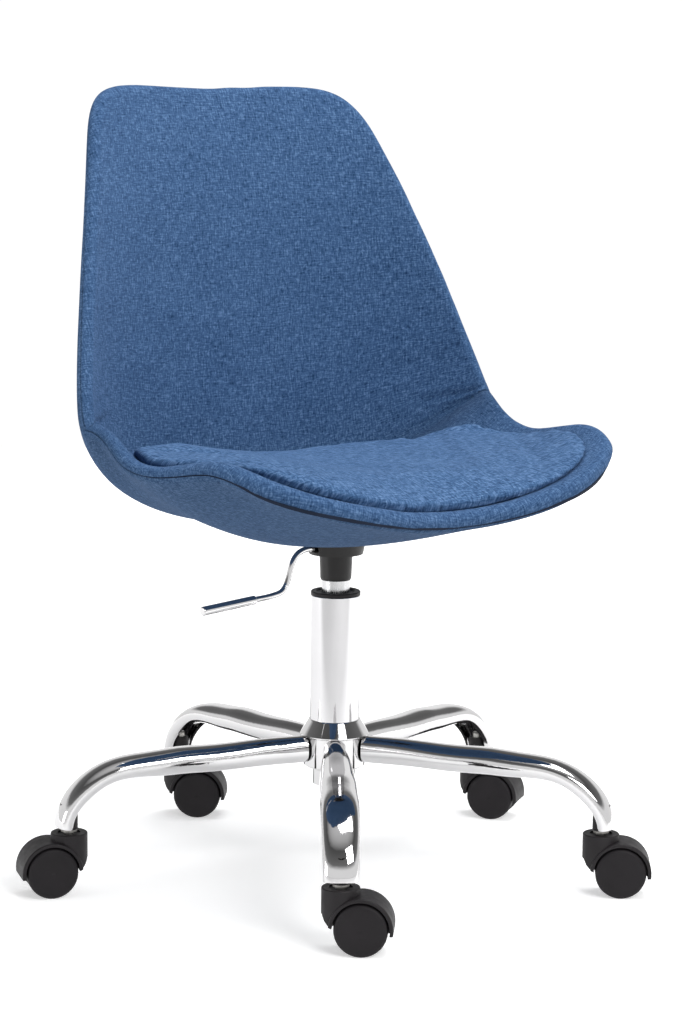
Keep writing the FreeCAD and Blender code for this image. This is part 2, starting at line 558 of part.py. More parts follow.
low = [[bucket(x, s, D("cushion_base") + swell(s)) for (x, s, a, b) in row] for row in CN]
high = [[bucket(x, s, D("cushion_base") + swell(s)) + V(0, -0.16, 0.987) * crown(x, s, a, b) for (x, s, a, b) in row] for row in CN]
solid("seat_cushion", closed(low, high))

# fasteners of the bucket
heads, rings = [], []
for i, (x, y) in enumerate(bolts):
    zw = seat_of[i] + 0.1
    zh = zw + D("washer_gauge") + 0.02
    zb = D("plate_top") - D("plate_gauge") - 0.3
    a = cyl("BoltHead%d" % i, "Dims.bolt_head_radius", "Dims.bolt_head_height", V(x, y, zh))
    b = cyl("BoltShank%d" % i, "Dims.bolt_radius", "%.3f" % (zh + 1.0 - zb), V(x, y, zb))
    hexcut = doc.addObject("Part::Prism", "BoltKey%d" % i)
    hexcut.Polygon = 6
    hexcut.Circumradius = 2.3
    hexcut.Height = 2.4
    hexcut.Placement = Placement(V(x, y, zh + 0.9), Rotation())
    fz = doc.addObject("Part::Fuse", "BoltFuse%d" % i)
    fz.Base, fz.Tool = a, b
    ct = doc.addObject("Part::Cut", "Bolt%d" % i)
    ct.Base, ct.Tool = fz, hexcut
    heads.append(ct)
    a = cyl("WasherDisc%d" % i, "Dims.washer_radius", "Dims.washer_gauge", V(x, y, zw))
    b = cyl("WasherHole%d" % i, "Dims.bolt_radius + 0.2", "3.0", V(x, y, zw - 1.0))
    ct = doc.addObject("Part::Cut", "Washer%d" % i)
    ct.Base, ct.Tool = a, b
    rings.append(ct)
for name, links in (("plate_bolts", heads), ("plate_washers", rings)):
    group = doc.addObject("Part::Compound", "G_" + name)
    group.Links = links
    keep(group, name)

# ---------------------------------------------------------------- release lever
PX, PZ = D("pivot_x"), D("pivot_height")
LR = D("lever_radius")
strip = Part.makeBox(20.0, D("strip_width"), D("strip_gauge"), V(-PX, -D("strip_width") / 2, D("valve_top") + 0.1))
eye = Part.makeCylinder(D("eye_radius"), 9.6, V(-PX, 4.8, PZ), V(0, -1, 0))
way = [V(-PX, 0, PZ), V(-34, 0, 332.4), V(-43, 0, 331.6), V(-51.0, 0, 328.0), V(-56.6, 0, 321.0), V(-60.2, 0, 311.0),
       V(-63.6, 0, 302.0), V(-69.0, 0, 294.2), V(-79.0, 0, 290.9), V(-92.0, 0, 289.6), V(-108.0, 0, 288.6)]
bs = Part.BSplineCurve()
bs.interpolate(way)
path = Part.Wire([bs.toShape()])
tan = bs.tangent(bs.FirstParameter)[0]
prof = Part.Wire([Part.Circle(way[0], tan, LR).toShape()])
rod = path.makePipeShell([prof], True, False)
lever = rod.fuse([strip, eye]).cut(Part.makeCylinder(D("pivot_radius") + 0.05, 20.0, V(-PX, 10.0, PZ), V(0, -1, 0)))
lever = lever.common(Part.makeBox(200, 40, 100, V(-200, -20, 260)))
solid("release_lever_rod", lever)
g0, g1 = V(-104.5, 0, 288.9), V(-170.3, 0, 285.1)
gd = g1 - g0
gl = gd.Length
gd.normalize()
tip0 = way[-1] - way[-2]
grip = Part.makeCylinder(D("grip_radius"), gl, g0, gd)
grip = grip.makeFillet(1.6, [e for e in grip.Edges if len(e.Vertexes) == 1 and abs(e.Length - 2 * math.pi * D("grip_radius")) < 0.5])
grip = grip.cut(rod)
grip = grip.cut(Part.makeCylinder(LR + 0.03, 5.0, g0 - gd * 1.0, gd))
solid("release_lever_grip", max(grip.Solids, key=lambda q: q.Volume))


# ---------------------------------------------------------------- legs
def leg_section(k, wall, drop=0.0):
    q = "abcdefghijkl"[k]
    r0, z0, w, h, tilt = [D("leg_%s_%s" % (t, q)) for t in ("reach", "height", "width", "depth", "tilt")]
    c = V(r0, 0, z0 - drop)
    t = math.radians(tilt)
    ey = V(0, 1, 0)
    ez = V(math.sin(t), 0, math.cos(t))
    a, b = w / 2 - wall, h / 2 - wall
    pts = []
    for m in range(24):
        th = 2 * math.pi * m / 24
        ct, st = math.cos(th), math.sin(th)
        ex = 0.86
        pts.append(c + ey * (a * math.copysign(abs(ct) ** ex, ct)) + ez * (b * math.copysign(abs(st) ** ex, st)))
    sp = Part.BSplineCurve()
    sp.interpolate(pts, PeriodicFlag=True)
    return Part.Wire([sp.toShape()])


def under_section(k, half, lift, extra=0.0):
    """wire that follows the column side of the bend, to open it into a channel"""
    q = "abcdefghijkl"[k]
    r0, z0, w, h, tilt = [D("leg_%s_%s" % (t, q)) for t in ("reach", "height", "width", "depth", "tilt")]
    t = math.radians(tilt)
    ez = V(math.sin(t), 0, math.cos(t))
    c = V(r0, 0, z0) - ez * (h / 2 - lift) + V(math.cos(t), 0, -math.sin(t)) * extra
    pts = [c + V(0, half * math.cos(2 * math.pi * m / 16), 0) + ez * (9.0 * math.sin(2 * math.pi * m / 16) - 4.0) for m in range(16)]
    sp = Part.BSplineCurve()
    sp.interpolate(pts, PeriodicFlag=True)
    return Part.Wire([sp.toShape()])


outer = Part.makeLoft([leg_section(k, 0.0) for k in range(12)], True, False)
W = D("leg_wall")
inner = Part.makeLoft([leg_section(k, W) for k in range(12)], True, False)
under = Part.makeLoft([under_section(6, 7.0, 0.0), under_section(7, 12.0, 1.5), under_section(8, 13.0, 3.0), under_section(9, 13.0, 3.5),
                       under_section(10, 12.6, 3.5), under_section(11, 12.4, 3.5), under_section(11, 12.4, 3.5, 8.0)], True, False)
RC = D("stem_circle")
leg = outer.cut(inner).cut(under)
leg = leg.cut(Part.makeCylinder(D("bushing_radius") + 0.05, 30.0, V(RC, 0, 60.0)))
leg = leg.cut(Part.makeBox(120.0, 80.0, 26.6, V(200.0, -40.0, 40.0)))
hubcut = Part.makeCylinder(D("hub_radius") + 0.03, 80.0, V(0, 0, 90.0)).fuse(Part.makeCylinder(D("flange_radius") + 0.05, 30.0, V(0, 0, D("flange_bottom") - 0.05)))
leg = leg.cut(hubcut)
leg = max(leg.Solids, key=lambda q: q.Volume)
for i in range(5):
    f = solid("leg_%d" % (i + 1), leg)
    f.Placement = Placement(O3, Rotation(Z, D("leg_dir_%s" % "abcde"[i])))

# bushings pressed in the leg ends, stems and grip rings
bush, stems, grips = [], [], []
for i in range(5):
    a = math.radians(D("leg_dir_%s" % "abcde"[i]))
    c = V(RC * math.cos(a), RC * math.sin(a), 0)
    b1 = cyl("SocketOuter%d" % i, "Dims.bushing_radius", "Dims.bushing_top - Dims.bushing_bottom", c + Z * D("bushing_bottom"))
    b2 = cyl("SocketBore%d" % i, "Dims.stem_radius + 0.02", "60.0", c + Z * 50.0)
    ct = doc.addObject("Part::Cut", "Socket%d" % i)
    ct.Base, ct.Tool = b1, b2
    bush.append(ct)
for name, links in (("caster_sockets", bush),):
    group = doc.addObject("Part::Compound", "G_" + name)
    group.Links = links
    keep(group, name)
for i in range(5):
    st = turned("caster_stem_%d" % (i + 1), [
        ("0", "Dims.stem_bottom"), ("Dims.stem_radius - 0.8", "Dims.stem_bottom"),
        ("Dims.stem_radius", "Dims.stem_bottom + 0.8"), ("Dims.stem_radius", "Dims.collar_bottom"),
        ("Dims.collar_radius", "Dims.collar_bottom"), ("Dims.collar_radius", "Dims.collar_top"),
        ("Dims.stem_radius", "Dims.collar_top"), ("Dims.stem_radius", "Dims.stem_top - 1.0"),
        ("Dims.stem_radius - 1.0", "Dims.stem_top"), ("0", "Dims.stem_top")])
    a = math.radians(D("leg_dir_%s" % "abcde"[i]))
    st.Placement = Placement(V(RC * math.cos(a), RC * math.sin(a), 0), Rotation())

# ---------------------------------------------------------------- casters
WR, TR = D("wheel_radius"), D("wheel_trail")
HW = D("hood_half_width")


def ydisc(r, y0, y1, x=TR, z=WR):
    return Part.makeCylinder(r, y1 - y0, V(x, y0, z), V(0, 1, 0))


cup = Part.makeCylinder(D("cup_radius"), D("cup_top") - 20.0, V(0, 0, 20.0))
cup = cup.makeFillet(1.2, [e for e in cup.Edges if len(e.Vertexes) == 1 and e.CenterOfMass.z > 60.0])
hood = ydisc(D("hood_radius"), -HW, HW)
hood = hood.makeFillet(1.6, [e for e in hood.Edges if len(e.Vertexes) == 1 and e.Length > 100.0 and abs(abs(e.CenterOfMass.y) - HW) < 0.1])
body = hood.fuse(cup)
# keep the hood above a line from the cup foot to the trailing tip
poly = Part.makePolygon([V(-30, -40, 36.8), V(-16.8, -40, 36.8), V(-14.4, -40, 31.6), V(-11.0, -40, 28.0), V(-6.0, -40, 25.6),
                         V(-1.5, -40, 17.0), V(TR, -40, 15.5), V(TR + 26.0, -40, 20.5), V(70, -40, 20.5), V(70, -40, 90),
                         V(-30, -40, 90), V(-30, -40, 36.8)])
keepzone = Part.Face(poly).extrude(V(0, 80, 0))
body = body.common(keepzone)
web = D("web_half")
gap = WR + 1.6
pocket = ydisc(gap, web, 40.0).fuse(ydisc(gap, -40.0, -web))
body = body.cut(pocket)
# the web between the wheels stays inside the wheel outline
hollow = ydisc(40.0, -web - 0.01, web + 0.01).cut(ydisc(15.0, -web - 1, web + 1))
low_web = Part.makeBox(90, 2 * web + 0.02, 12.0, V(-40, -web - 0.01, 0.0))
body = body.cut(low_web)
recess = Part.makeCylinder(11.0, 3.0, V(0, 0, D("cup_top") - 1.6))
body = body.cut(recess)
body = body.cut(Part.makeCylinder(D("stem_bore"), 80.0, V(0, 0, D("stem_bottom") - 1.0)))
body = body.cut(ydisc(D("axle_radius") + 0.02, -40, 40))
body = max(body.Solids, key=lambda q: q.Volume)
for i in range(5):
    L = "abcde"[i]
    a = math.radians(D("leg_dir_%s" % L))
    pl = Placement(V(RC * math.cos(a), RC * math.sin(a), 0), Rotation(Z, D("caster_dir_%s" % L)))
    f = solid("caster_%d_hood" % (i + 1), body)
    f.Placement = pl
    ax = cyl("Axle%d" % i, "Dims.axle_radius", "2*Dims.axle_half", O3)
    ax.Placement = pl.multiply(Placement(V(TR, D("axle_half"), WR), Rotation(V(1, 0, 0), 90)))
    keep(ax, "caster_%d_axle" % (i + 1))
    for side, name in ((1, "left"), (-1, "right")):
        w = turned("caster_%d_wheel_%s" % (i + 1, name), [
            ("Dims.axle_radius + 0.05", "0"), ("Dims.wheel_radius - 2.0", "0"), ("Dims.wheel_radius - 0.4", "1.2"),
            ("Dims.wheel_radius", "3.0"), ("Dims.wheel_radius", "Dims.wheel_width - 3.4"),
            ("Dims.wheel_radius - 0.9", "Dims.wheel_width - 1.4"), ("Dims.wheel_radius - 2.6", "Dims.wheel_width - 0.3"),
            ("Dims.wheel_radius - 5.0", "Dims.wheel_width"), ("0", "Dims.wheel_width + 0.6"),
            ("0", "Dims.axle_half - Dims.wheel_inner + 0.1"), ("Dims.axle_radius + 0.05", "Dims.axle_half - Dims.wheel_inner + 0.1")])
        rot = Rotation(V(1, 0, 0), -90 if side > 0 else 90)
        w.Placement = pl.multiply(Placement(V(TR, side * D("wheel_inner"), WR), rot))

doc.recompute()

# ---------------------------------------------------------------- checks and export
os.makedirs("parts", exist_ok=True)
bad = []
for obj in doc.Objects:
    for s in obj.State:
        if s in ("Invalid", "Error"):
            bad.append((obj.Name, s))
for obj in NODES:
    if obj.Shape.isNull() or not obj.Shape.isValid() or not obj.Shape.Solids:
        bad.append((obj.Label, "shape"))
    print("%-26s solids %d  volume %.0f  box %s" % (obj.Label, len(obj.Shape.Solids), obj.Shape.Volume,
          [round(q, 1) for q in (obj.Shape.BoundBox.XMin, obj.Shape.BoundBox.XMax, obj.Shape.BoundBox.YMin,
                                 obj.Shape.BoundBox.YMax, obj.Shape.BoundBox.ZMin, obj.Shape.BoundBox.ZMax)]))
if bad:
    raise RuntimeError("bad shapes: %s" % bad)
for obj in NODES:
    obj.Shape.exportStep("parts/%s.step" % obj.Label)
print("nodes", len(NODES))
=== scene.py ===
import bpy, bmesh, json, math
import numpy as np
from mathutils import Matrix, Vector


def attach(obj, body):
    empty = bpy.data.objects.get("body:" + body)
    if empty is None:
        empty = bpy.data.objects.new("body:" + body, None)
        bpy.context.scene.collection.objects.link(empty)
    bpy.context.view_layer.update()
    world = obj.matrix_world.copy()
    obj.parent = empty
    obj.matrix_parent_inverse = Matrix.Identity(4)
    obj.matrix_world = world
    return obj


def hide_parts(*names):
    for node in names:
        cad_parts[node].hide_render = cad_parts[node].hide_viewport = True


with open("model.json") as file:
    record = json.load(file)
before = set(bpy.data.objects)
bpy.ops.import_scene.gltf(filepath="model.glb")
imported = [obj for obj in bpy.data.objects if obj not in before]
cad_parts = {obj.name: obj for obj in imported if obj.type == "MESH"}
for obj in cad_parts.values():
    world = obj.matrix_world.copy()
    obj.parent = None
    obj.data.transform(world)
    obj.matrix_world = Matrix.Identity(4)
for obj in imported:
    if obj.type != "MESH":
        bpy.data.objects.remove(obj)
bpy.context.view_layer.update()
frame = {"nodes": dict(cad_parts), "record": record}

NODES = frame["nodes"]
scene = bpy.context.scene
rng = np.random.RandomState(11)

# =====================================================================
# the upholstered bucket's reference surface, in millimetres
# =====================================================================
STATIONS = np.array([
    (-0.080, -230.7, 384.1, 83.9, 35.0, 2.34), (-0.030, -206.6, 380.9, 66.3, 51.7, 2.34),
    (0.020, -177.6, 374.9, 52.1, 63.8, 2.33), (0.070, -145.2, 366.8, 40.2, 72.3, 2.31),
    (0.120, -110.5, 357.9, 29.9, 77.4, 2.29), (0.170, -74.9, 349.9, 20.0, 80.3, 2.27),
    (0.220, -39.5, 344.2, 9.8, 81.8, 2.25), (0.270, -5.1, 342.4, -1.8, 83.7, 2.23),
    (0.320, 28.3, 344.2, -15.7, 87.5, 2.21), (0.370, 60.4, 348.6, -32.2, 93.0, 2.32),
    (0.420, 90.3, 352.0, -49.6, 97.4, 2.48), (0.470, 116.5, 353.6, -65.3, 97.6, 2.64),
    (0.520, 136.8, 358.5, -76.7, 91.1, 2.81), (0.570, 150.8, 371.9, -83.0, 77.2, 2.97),
    (0.620, 159.7, 395.7, -85.9, 59.3, 3.13), (0.670, 165.2, 429.3, -86.9, 41.5, 3.20),
    (0.720, 168.3, 471.2, -87.7, 27.8, 3.08), (0.770, 170.6, 520.2, -88.0, 18.0, 2.89),
    (0.820, 173.6, 575.1, -87.2, 10.4, 2.70), (0.870, 178.8, 635.0, -84.7, 3.4, 2.51),
    (0.920, 188.4, 699.5, -79.7, -4.6, 2.32), (0.970, 205.3, 767.8, -71.6, -15.4, 2.13),
    (1.020, 231.4, 839.3, -59.7, -30.4, 2.02)])
RIM = [
    (0.0, 0.0000), (66.4, -0.0143), (126.7, -0.0403), (175.4, -0.0557), (209.7, -0.0574),
    (228.7, -0.0490), (236.9, -0.0316), (242.0, -0.0045), (246.6, 0.0314), (249.3, 0.0739),
    (250.4, 0.1213), (252.1, 0.1726), (255.1, 0.2272), (257.0, 0.2849), (256.4, 0.3456),
    (256.2, 0.4095), (258.9, 0.4764), (262.7, 0.5450), (264.7, 0.6136), (262.4, 0.6811),
    (253.7, 0.7467), (239.4, 0.8079), (222.4, 0.8618), (205.2, 0.9062), (190.4, 0.9402),
    (177.1, 0.9636), (160.1, 0.9770), (135.1, 0.9822), (99.4, 0.9822), (52.7, 0.9799), (0.0, 0.9784)]
CUSHION = [
    (0.0, 0.018), (55.0, 0.010), (105.0, -0.004), (150.0, -0.014), (184.0, -0.010), (206.0, 0.010),
    (221.0, 0.042), (231.0, 0.088), (237.5, 0.147), (239.5, 0.215), (237.0, 0.288), (230.0, 0.358),
    (215.0, 0.418), (188.0, 0.464), (147.0, 0.494), (80.0, 0.512), (0.0, 0.518),
]


def spline(xs, ys):
    xs, ys = np.asarray(xs, float), np.asarray(ys, float)
    n = len(xs)
    h = np.diff(xs)
    A = np.eye(n)
    b = np.zeros(n)
    for i in range(1, n - 1):
        A[i, i - 1], A[i, i], A[i, i + 1] = h[i - 1], 2 * (h[i - 1] + h[i]), h[i]
        b[i] = 6 * ((ys[i + 1] - ys[i]) / h[i] - (ys[i] - ys[i - 1]) / h[i - 1])
    m = np.linalg.solve(A, b)

    def f(t):
        t = np.asarray(t, float)
        i = np.clip(np.searchsorted(xs, t) - 1, 0, n - 2)
        u = (t - xs[i]) / h[i]
        v = 1 - u
        return v * ys[i] + u * ys[i + 1] + h[i] ** 2 / 6 * ((v ** 3 - v) * m[i] + (u ** 3 - u) * m[i + 1])
    return f


FY, FZ, GY, GZ, PW = [spline(STATIONS[:, 0], STATIONS[:, k]) for k in range(1, 6)]


def ref(x, s):
    q = (np.abs(x) / 250.0) ** PW(s)
    return np.stack([x, FY(s) + GY(s) * q, FZ(s) + GZ(s) * q], -1)


def normal(x, s):
    du = ref(x + 0.5, s) - ref(x - 0.5, s)
    dv = ref(x, s + 0.001) - ref(x, s - 0.001)
    n = np.cross(du, dv)
    return n / np.linalg.norm(n, axis=-1, keepdims=True)


def rim_curve(table, inset):
    """outline f(t), t 0 front centre .. 1 back centre, moved inwards by inset mm in the surface"""
    k = np.linspace(0, 1, len(table))
    fx, fs = spline(k, [p[0] for p in table]), spline(k, [p[1] for p in table])
    t = np.linspace(0, 1, 801)
    x, s = fx(t), fs(t)
    P = ref(x, s)
    N = normal(x, s)
    T = np.gradient(P, axis=0)
    T[0] = [1, 0, 0]
    T[-1] = [-1, 0, 0]
    T /= np.linalg.norm(T, axis=1, keepdims=True)
    E = np.cross(T, N)
    # in-surface step: solve a*du + b*dv = -E*inset
    du = (ref(x + 0.5, s) - ref(x - 0.5, s))
    dv = (ref(x, s + 0.001) - ref(x, s - 0.001)) / 0.002
    step = -E * (inset if np.ndim(inset) == 0 else inset(t)[:, None])
    a11, a12, a22 = (du * du).sum(1), (du * dv).sum(1), (dv * dv).sum(1)
    r1, r2 = (du * step).sum(1), (dv * step).sum(1)
    det = a11 * a22 - a12 ** 2
    x2 = x + (a22 * r1 - a12 * r2) / det
    s2 = s + (a11 * r2 - a12 * r1) / det
    x2[0] = 0
    x2[-1] = 0
    # even out wobble
    for _ in range(12):
        x2[1:-1] = 0.25 * x2[:-2] + 0.5 * x2[1:-1] + 0.25 * x2[2:]
        s2[1:-1] = 0.25 * s2[:-2] + 0.5 * s2[1:-1] + 0.25 * s2[2:]
        s2[0] = s2[1]
        s2[-1] = s2[-2]
    return lambda q: (np.interp(q, t, x2), np.interp(q, t, s2))


def net(f, t1, t2, nu, nv, ea=0.35, eb=0.2):
    """(x, s, a, b, t) grids that fill a rounded outline. t is the nearest outline parameter on the border."""
    s0, s1 = f(0.0)[1], f(1.0)[1]
    b = np.linspace(0, 1, nv + 1)
    b = b * (1 - eb) + eb * (0.5 - 0.5 * np.cos(np.pi * b))
    a = np.linspace(0, 1, nu + 1)
    a = a * (1 - ea) + ea * np.sin(np.pi / 2 * a)
    B, A = np.meshgrid(b, a, indexing="ij")
    sx, ss = f(t1 + (t2 - t1) * B)
    bx, bs = f(t1 * A)
    tx, ts = f(1 - (1 - t2) * A)
    c10, c11 = f(t1), f(t2)
    X = (1 - B) * bx + B * tx + A * sx - ((1 - B) * A * c10[0] + B * A * c11[0])
    S = ((1 - B) * bs + B * ts + (1 - A) * (s0 + (s1 - s0) * B) + A * ss
         - ((1 - A) * (1 - B) * s0 + A * (1 - B) * c10[1] + (1 - A) * B * s1 + A * B * c11[1]))
    X = np.concatenate([-X[:, :0:-1], X], 1)
    S = np.concatenate([S[:, :0:-1], S], 1)
    A2 = np.concatenate([-A[:, :0:-1], A], 1)
    B2 = np.concatenate([B[:, :0:-1], B], 1)
    tt_side = t1 + (t2 - t1) * b
    tt_low = t1 * a
    tt_top = 1 - (1 - t2) * a
    # border loop, counter-clockwise seen from the sitter: front left -> front right -> back right -> back left
    w = X.shape[1]
    hnv = X.shape[0]
    loop = [(0, i) for i in range(w)] + [(j, w - 1) for j in range(1, hnv)] + [(hnv - 1, i) for i in range(w - 2, -1, -1)] + [(j, 0) for j in range(hnv - 2, 0, -1)]
    tl = {}
    for i in range(nu + 1):
        tl[(0, nu + i)] = tl[(0, nu - i)] = tt_low[i]
        tl[(hnv - 1, nu + i)] = tl[(hnv - 1, nu - i)] = tt_top[i]
    for j in range(hnv):
        tl[(j, w - 1)] = tl[(j, 0)] = tt_side[j]
    return X, S, A2, B2, loop, np.array([tl[q] for q in loop])


def smooth(e0, e1, v):
    u = np.clip((v - e0) / (e1 - e0), 0, 1)
    return u * u * (3 - 2 * u)


def value_noise(p, scale, seed):
    """smooth value noise on points (n,3) in mm"""
    r = np.random.RandomState(seed)
    g = r.rand(32, 32, 32)
    q = p / scale
    i = np.floor(q).astype(int)
    f = q - i
    f = f * f * (3 - 2 * f)
    out = 0
    for dx in (0, 1):
        for dy in (0, 1):
            for dz in (0, 1):
                wgt = (f[:, 0] if dx else 1 - f[:, 0]) * (f[:, 1] if dy else 1 - f[:, 1]) * (f[:, 2] if dz else 1 - f[:, 2])
                out = out + wgt * g[(i[:, 0] + dx) % 32, (i[:, 1] + dy) % 32, (i[:, 2] + dz) % 32]
    return out * 2 - 1


# =====================================================================
# materials
# =====================================================================
class Mat:
    def __init__(self, name):
        self.m = bpy.data.materials.new(name)
        self.m.use_nodes = True
        self.nt = self.m.node_tree
        self.nt.nodes.clear()
        self.out = self.nt.nodes.new("ShaderNodeOutputMaterial")
        self.b = self.nt.nodes.new("ShaderNodeBsdfPrincipled")
        self.nt.links.new(self.b.outputs[0], self.out.inputs[0])

    def n(self, kind, **kw):
        nd = self.nt.nodes.new(kind)
        for k, v in kw.items():
            if k in nd.inputs:
                nd.inputs[k].default_value = v
            else:
                setattr(nd, k, v)
        return nd

    def l(self, a, b):
        self.nt.links.new(a, b)

    def ramp(self, fac, stops, interp="LINEAR"):
        r = self.n("ShaderNodeValToRGB")
        r.color_ramp.interpolation = interp
        els = r.color_ramp.elements
        while len(els) < len(stops):
            els.new(0.5)
        for e, (p, c) in zip(els, stops):
            e.position = p
            e.color = (*c, 1) if len(c) == 3 else c
        self.l(fac, r.inputs[0])
        return r.outputs[0]

    def math(self, op, a, b=None, clamp=False):
        nd = self.n("ShaderNodeMath", operation=op, use_clamp=clamp)
        for i, v in enumerate((a, b)):
            if v is None:
                continue
            if isinstance(v, (int, float)):
                nd.inputs[i].default_value = v
            else:
                self.l(v, nd.inputs[i])
        return nd.outputs[0]

    def noise(self, vec, scale, detail=2.0, rough=0.5, stretch=None, distortion=0.0):
        if stretch is not None:
            mp = self.n("ShaderNodeMapping")
            mp.inputs["Scale"].default_value = stretch
            self.l(vec, mp.inputs[0])
            vec = mp.outputs[0]
        nz = self.n("ShaderNodeTexNoise")
        nz.inputs["Scale"].default_value = scale
        nz.inputs["Detail"].default_value = detail
        nz.inputs["Roughness"].default_value = rough
        nz.inputs["Distortion"].default_value = distortion
        self.l(vec, nz.inputs["Vector"])
        return nz.outputs["Fac"]


def cloth_material(name, dark, mid, light, k=1.0):
    """two-tone melange cloth: warp and weft slubs from stretched noise, a fine weave in the bump"""
    M = Mat(name)
    at = M.n("ShaderNodeAttribute", attribute_name="cloth_mm")
    v = at.outputs["Vector"]
    warp = M.noise(v, 1.0, 2.0, 0.6, (0.62 * k, 0.10 * k, 0.3))
    weft = M.noise(v, 1.0, 2.0, 0.6, (0.095 * k, 0.66 * k, 0.3))
    fleck = M.noise(v, 1.0, 2.0, 0.65, (0.42 * k, 0.36 * k, 0.4), 0.6)
    patch = M.noise(v, 1.0, 2.0, 0.5, (0.016, 0.016, 0.016))
    s1 = M.math("ADD", M.math("MULTIPLY", warp, 0.46), M.math("MULTIPLY", weft, 0.44))
    s2 = M.math("ADD", s1, M.math("MULTIPLY", fleck, 0.42))
    s3 = M.math("ADD", s2, M.math("MULTIPLY", patch, 0.08))
    col = M.ramp(s3, [(0.50, dark), (0.70, mid), (0.90, light)])
    # painted shade: the colour is darkened by up to 34% by a point attribute set in the fold between back and seat
    painted_fold_shade = M.n("ShaderNodeAttribute", attribute_name="painted_fold_shade")
    keep = M.math("SUBTRACT", 1.0, M.math("MULTIPLY", painted_fold_shade.outputs["Fac"], 0.34))
    tone = M.n("ShaderNodeVectorMath", operation="SCALE")
    M.l(col, tone.inputs[0])
    M.l(keep, tone.inputs["Scale"])
    M.l(tone.outputs[0], M.b.inputs["Base Color"])
    M.b.inputs["Roughness"].default_value = 0.92
    M.b.inputs["Specular IOR Level"].default_value = 0.10
    M.b.inputs["Sheen Weight"].default_value = 0.12
    M.b.inputs["Sheen Roughness"].default_value = 0.5
    M.b.inputs["Sheen Tint"].default_value = (0.35, 0.55, 0.95, 1)
    # weave height: over-under threads about 0.9 mm apart with the slubs on top
    wx = M.n("ShaderNodeTexWave", wave_type="BANDS", bands_direction="X", wave_profile="SIN")
    wx.inputs["Scale"].default_value = 0.33
    wx.inputs["Distortion"].default_value = 2.2
    wx.inputs["Detail"].default_value = 2.0
    wx.inputs["Detail Scale"].default_value = 0.6
    M.l(v, wx.inputs["Vector"])
    wy = M.n("ShaderNodeTexWave", wave_type="BANDS", bands_direction="Y", wave_profile="SIN")
    wy.inputs["Scale"].default_value = 0.33
    wy.inputs["Distortion"].default_value = 2.2
    wy.inputs["Detail"].default_value = 2.0
    wy.inputs["Detail Scale"].default_value = 0.6
    M.l(v, wy.inputs["Vector"])
    weave = M.math("MULTIPLY", wx.outputs["Fac"], wy.outputs["Fac"])
    hgt = M.math("ADD", M.math("MULTIPLY", weave, 0.4), M.math("MULTIPLY", s2, 1.4))
    bp = M.n("ShaderNodeBump", Strength=0.6, Distance=0.0007)
    M.l(hgt, bp.inputs["Height"])
    M.l(bp.outputs[0], M.b.inputs["Normal"])
    return M.m


def obj_coords(M, scale=1000.0):
    tc = M.n("ShaderNodeTexCoord")
    mp = M.n("ShaderNodeMapping")
    mp.inputs["Scale"].default_value = (scale, scale, scale)
    M.l(tc.outputs["Object"], mp.inputs[0])
    return mp.outputs[0]


def chrome_material(name, rough=0.06, tint=(0.80, 0.80, 0.81), scratch=0.04):
    M = Mat(name)
    v = obj_coords(M)
    M.b.inputs["Metallic"].default_value = 1.0
    haze = M.noise(v, 0.02, 3.0, 0.6)
    col = M.ramp(haze, [(0.3, tuple(c * 0.96 for c in tint)), (0.7, tint)])
    M.l(col, M.b.inputs["Base Color"])
    smear = M.noise(v, 0.05, 4.0, 0.6, (1, 1, 0.3))
    r = M.ramp(smear, [(0.35, (rough,) * 3), (0.75, (rough + scratch,) * 3)])
    M.l(r, M.b.inputs["Roughness"])
    fine = M.noise(v, 0.9, 2.0, 0.6, (1, 1, 0.2))
    bp = M.n("ShaderNodeBump", Strength=0.03, Distance=0.0001)
    M.l(fine, bp.inputs["Height"])
    M.l(bp.outputs[0], M.b.inputs["Normal"])
    return M.m


def plastic_material(name, base=(0.018, 0.018, 0.020), rough=0.42, grain=1.6, bump=0.12, spec=0.45):
    M = Mat(name)
    v = obj_coords(M)
    big = M.noise(v, 0.03, 3.0, 0.55)
    col = M.ramp(big, [(0.3, tuple(c * 0.85 for c in base)), (0.75, tuple(c * 1.25 for c in base))])
    M.l(col, M.b.inputs["Base Color"])
    gr = M.noise(v, grain, 2.0, 0.5)
    r = M.ramp(M.noise(v, 0.12, 3.0, 0.6), [(0.3, (rough - 0.05,) * 3), (0.7, (rough + 0.08,) * 3)])
    M.l(r, M.b.inputs["Roughness"])
    M.b.inputs["Specular IOR Level"].default_value = spec
    bp = M.n("ShaderNodeBump", Strength=bump, Distance=0.0003)
    M.l(gr, bp.inputs["Height"])
    M.l(bp.outputs[0], M.b.inputs["Normal"])
    return M.m


def steel_material(name, base=(0.50, 0.50, 0.51), rough=0.26, stretch=(1, 1, 0.02)):
    M = Mat(name)
    v = obj_coords(M)
    M.b.inputs["Metallic"].default_value = 1.0
    br = M.noise(v, 2.0, 3.0, 0.6, stretch)
    col = M.ramp(br, [(0.3, tuple(c * 0.85 for c in base)), (0.7, base)])
    M.l(col, M.b.inputs["Base Color"])
    r = M.ramp(br, [(0.3, (rough - 0.06,) * 3), (0.7, (rough + 0.1,) * 3)])
    M.l(r, M.b.inputs["Roughness"])
    bp = M.n("ShaderNodeBump", Strength=0.08, Distance=0.0002)
    M.l(br, bp.inputs["Height"])
    M.l(bp.outputs[0], M.b.inputs["Normal"])
    return M.m


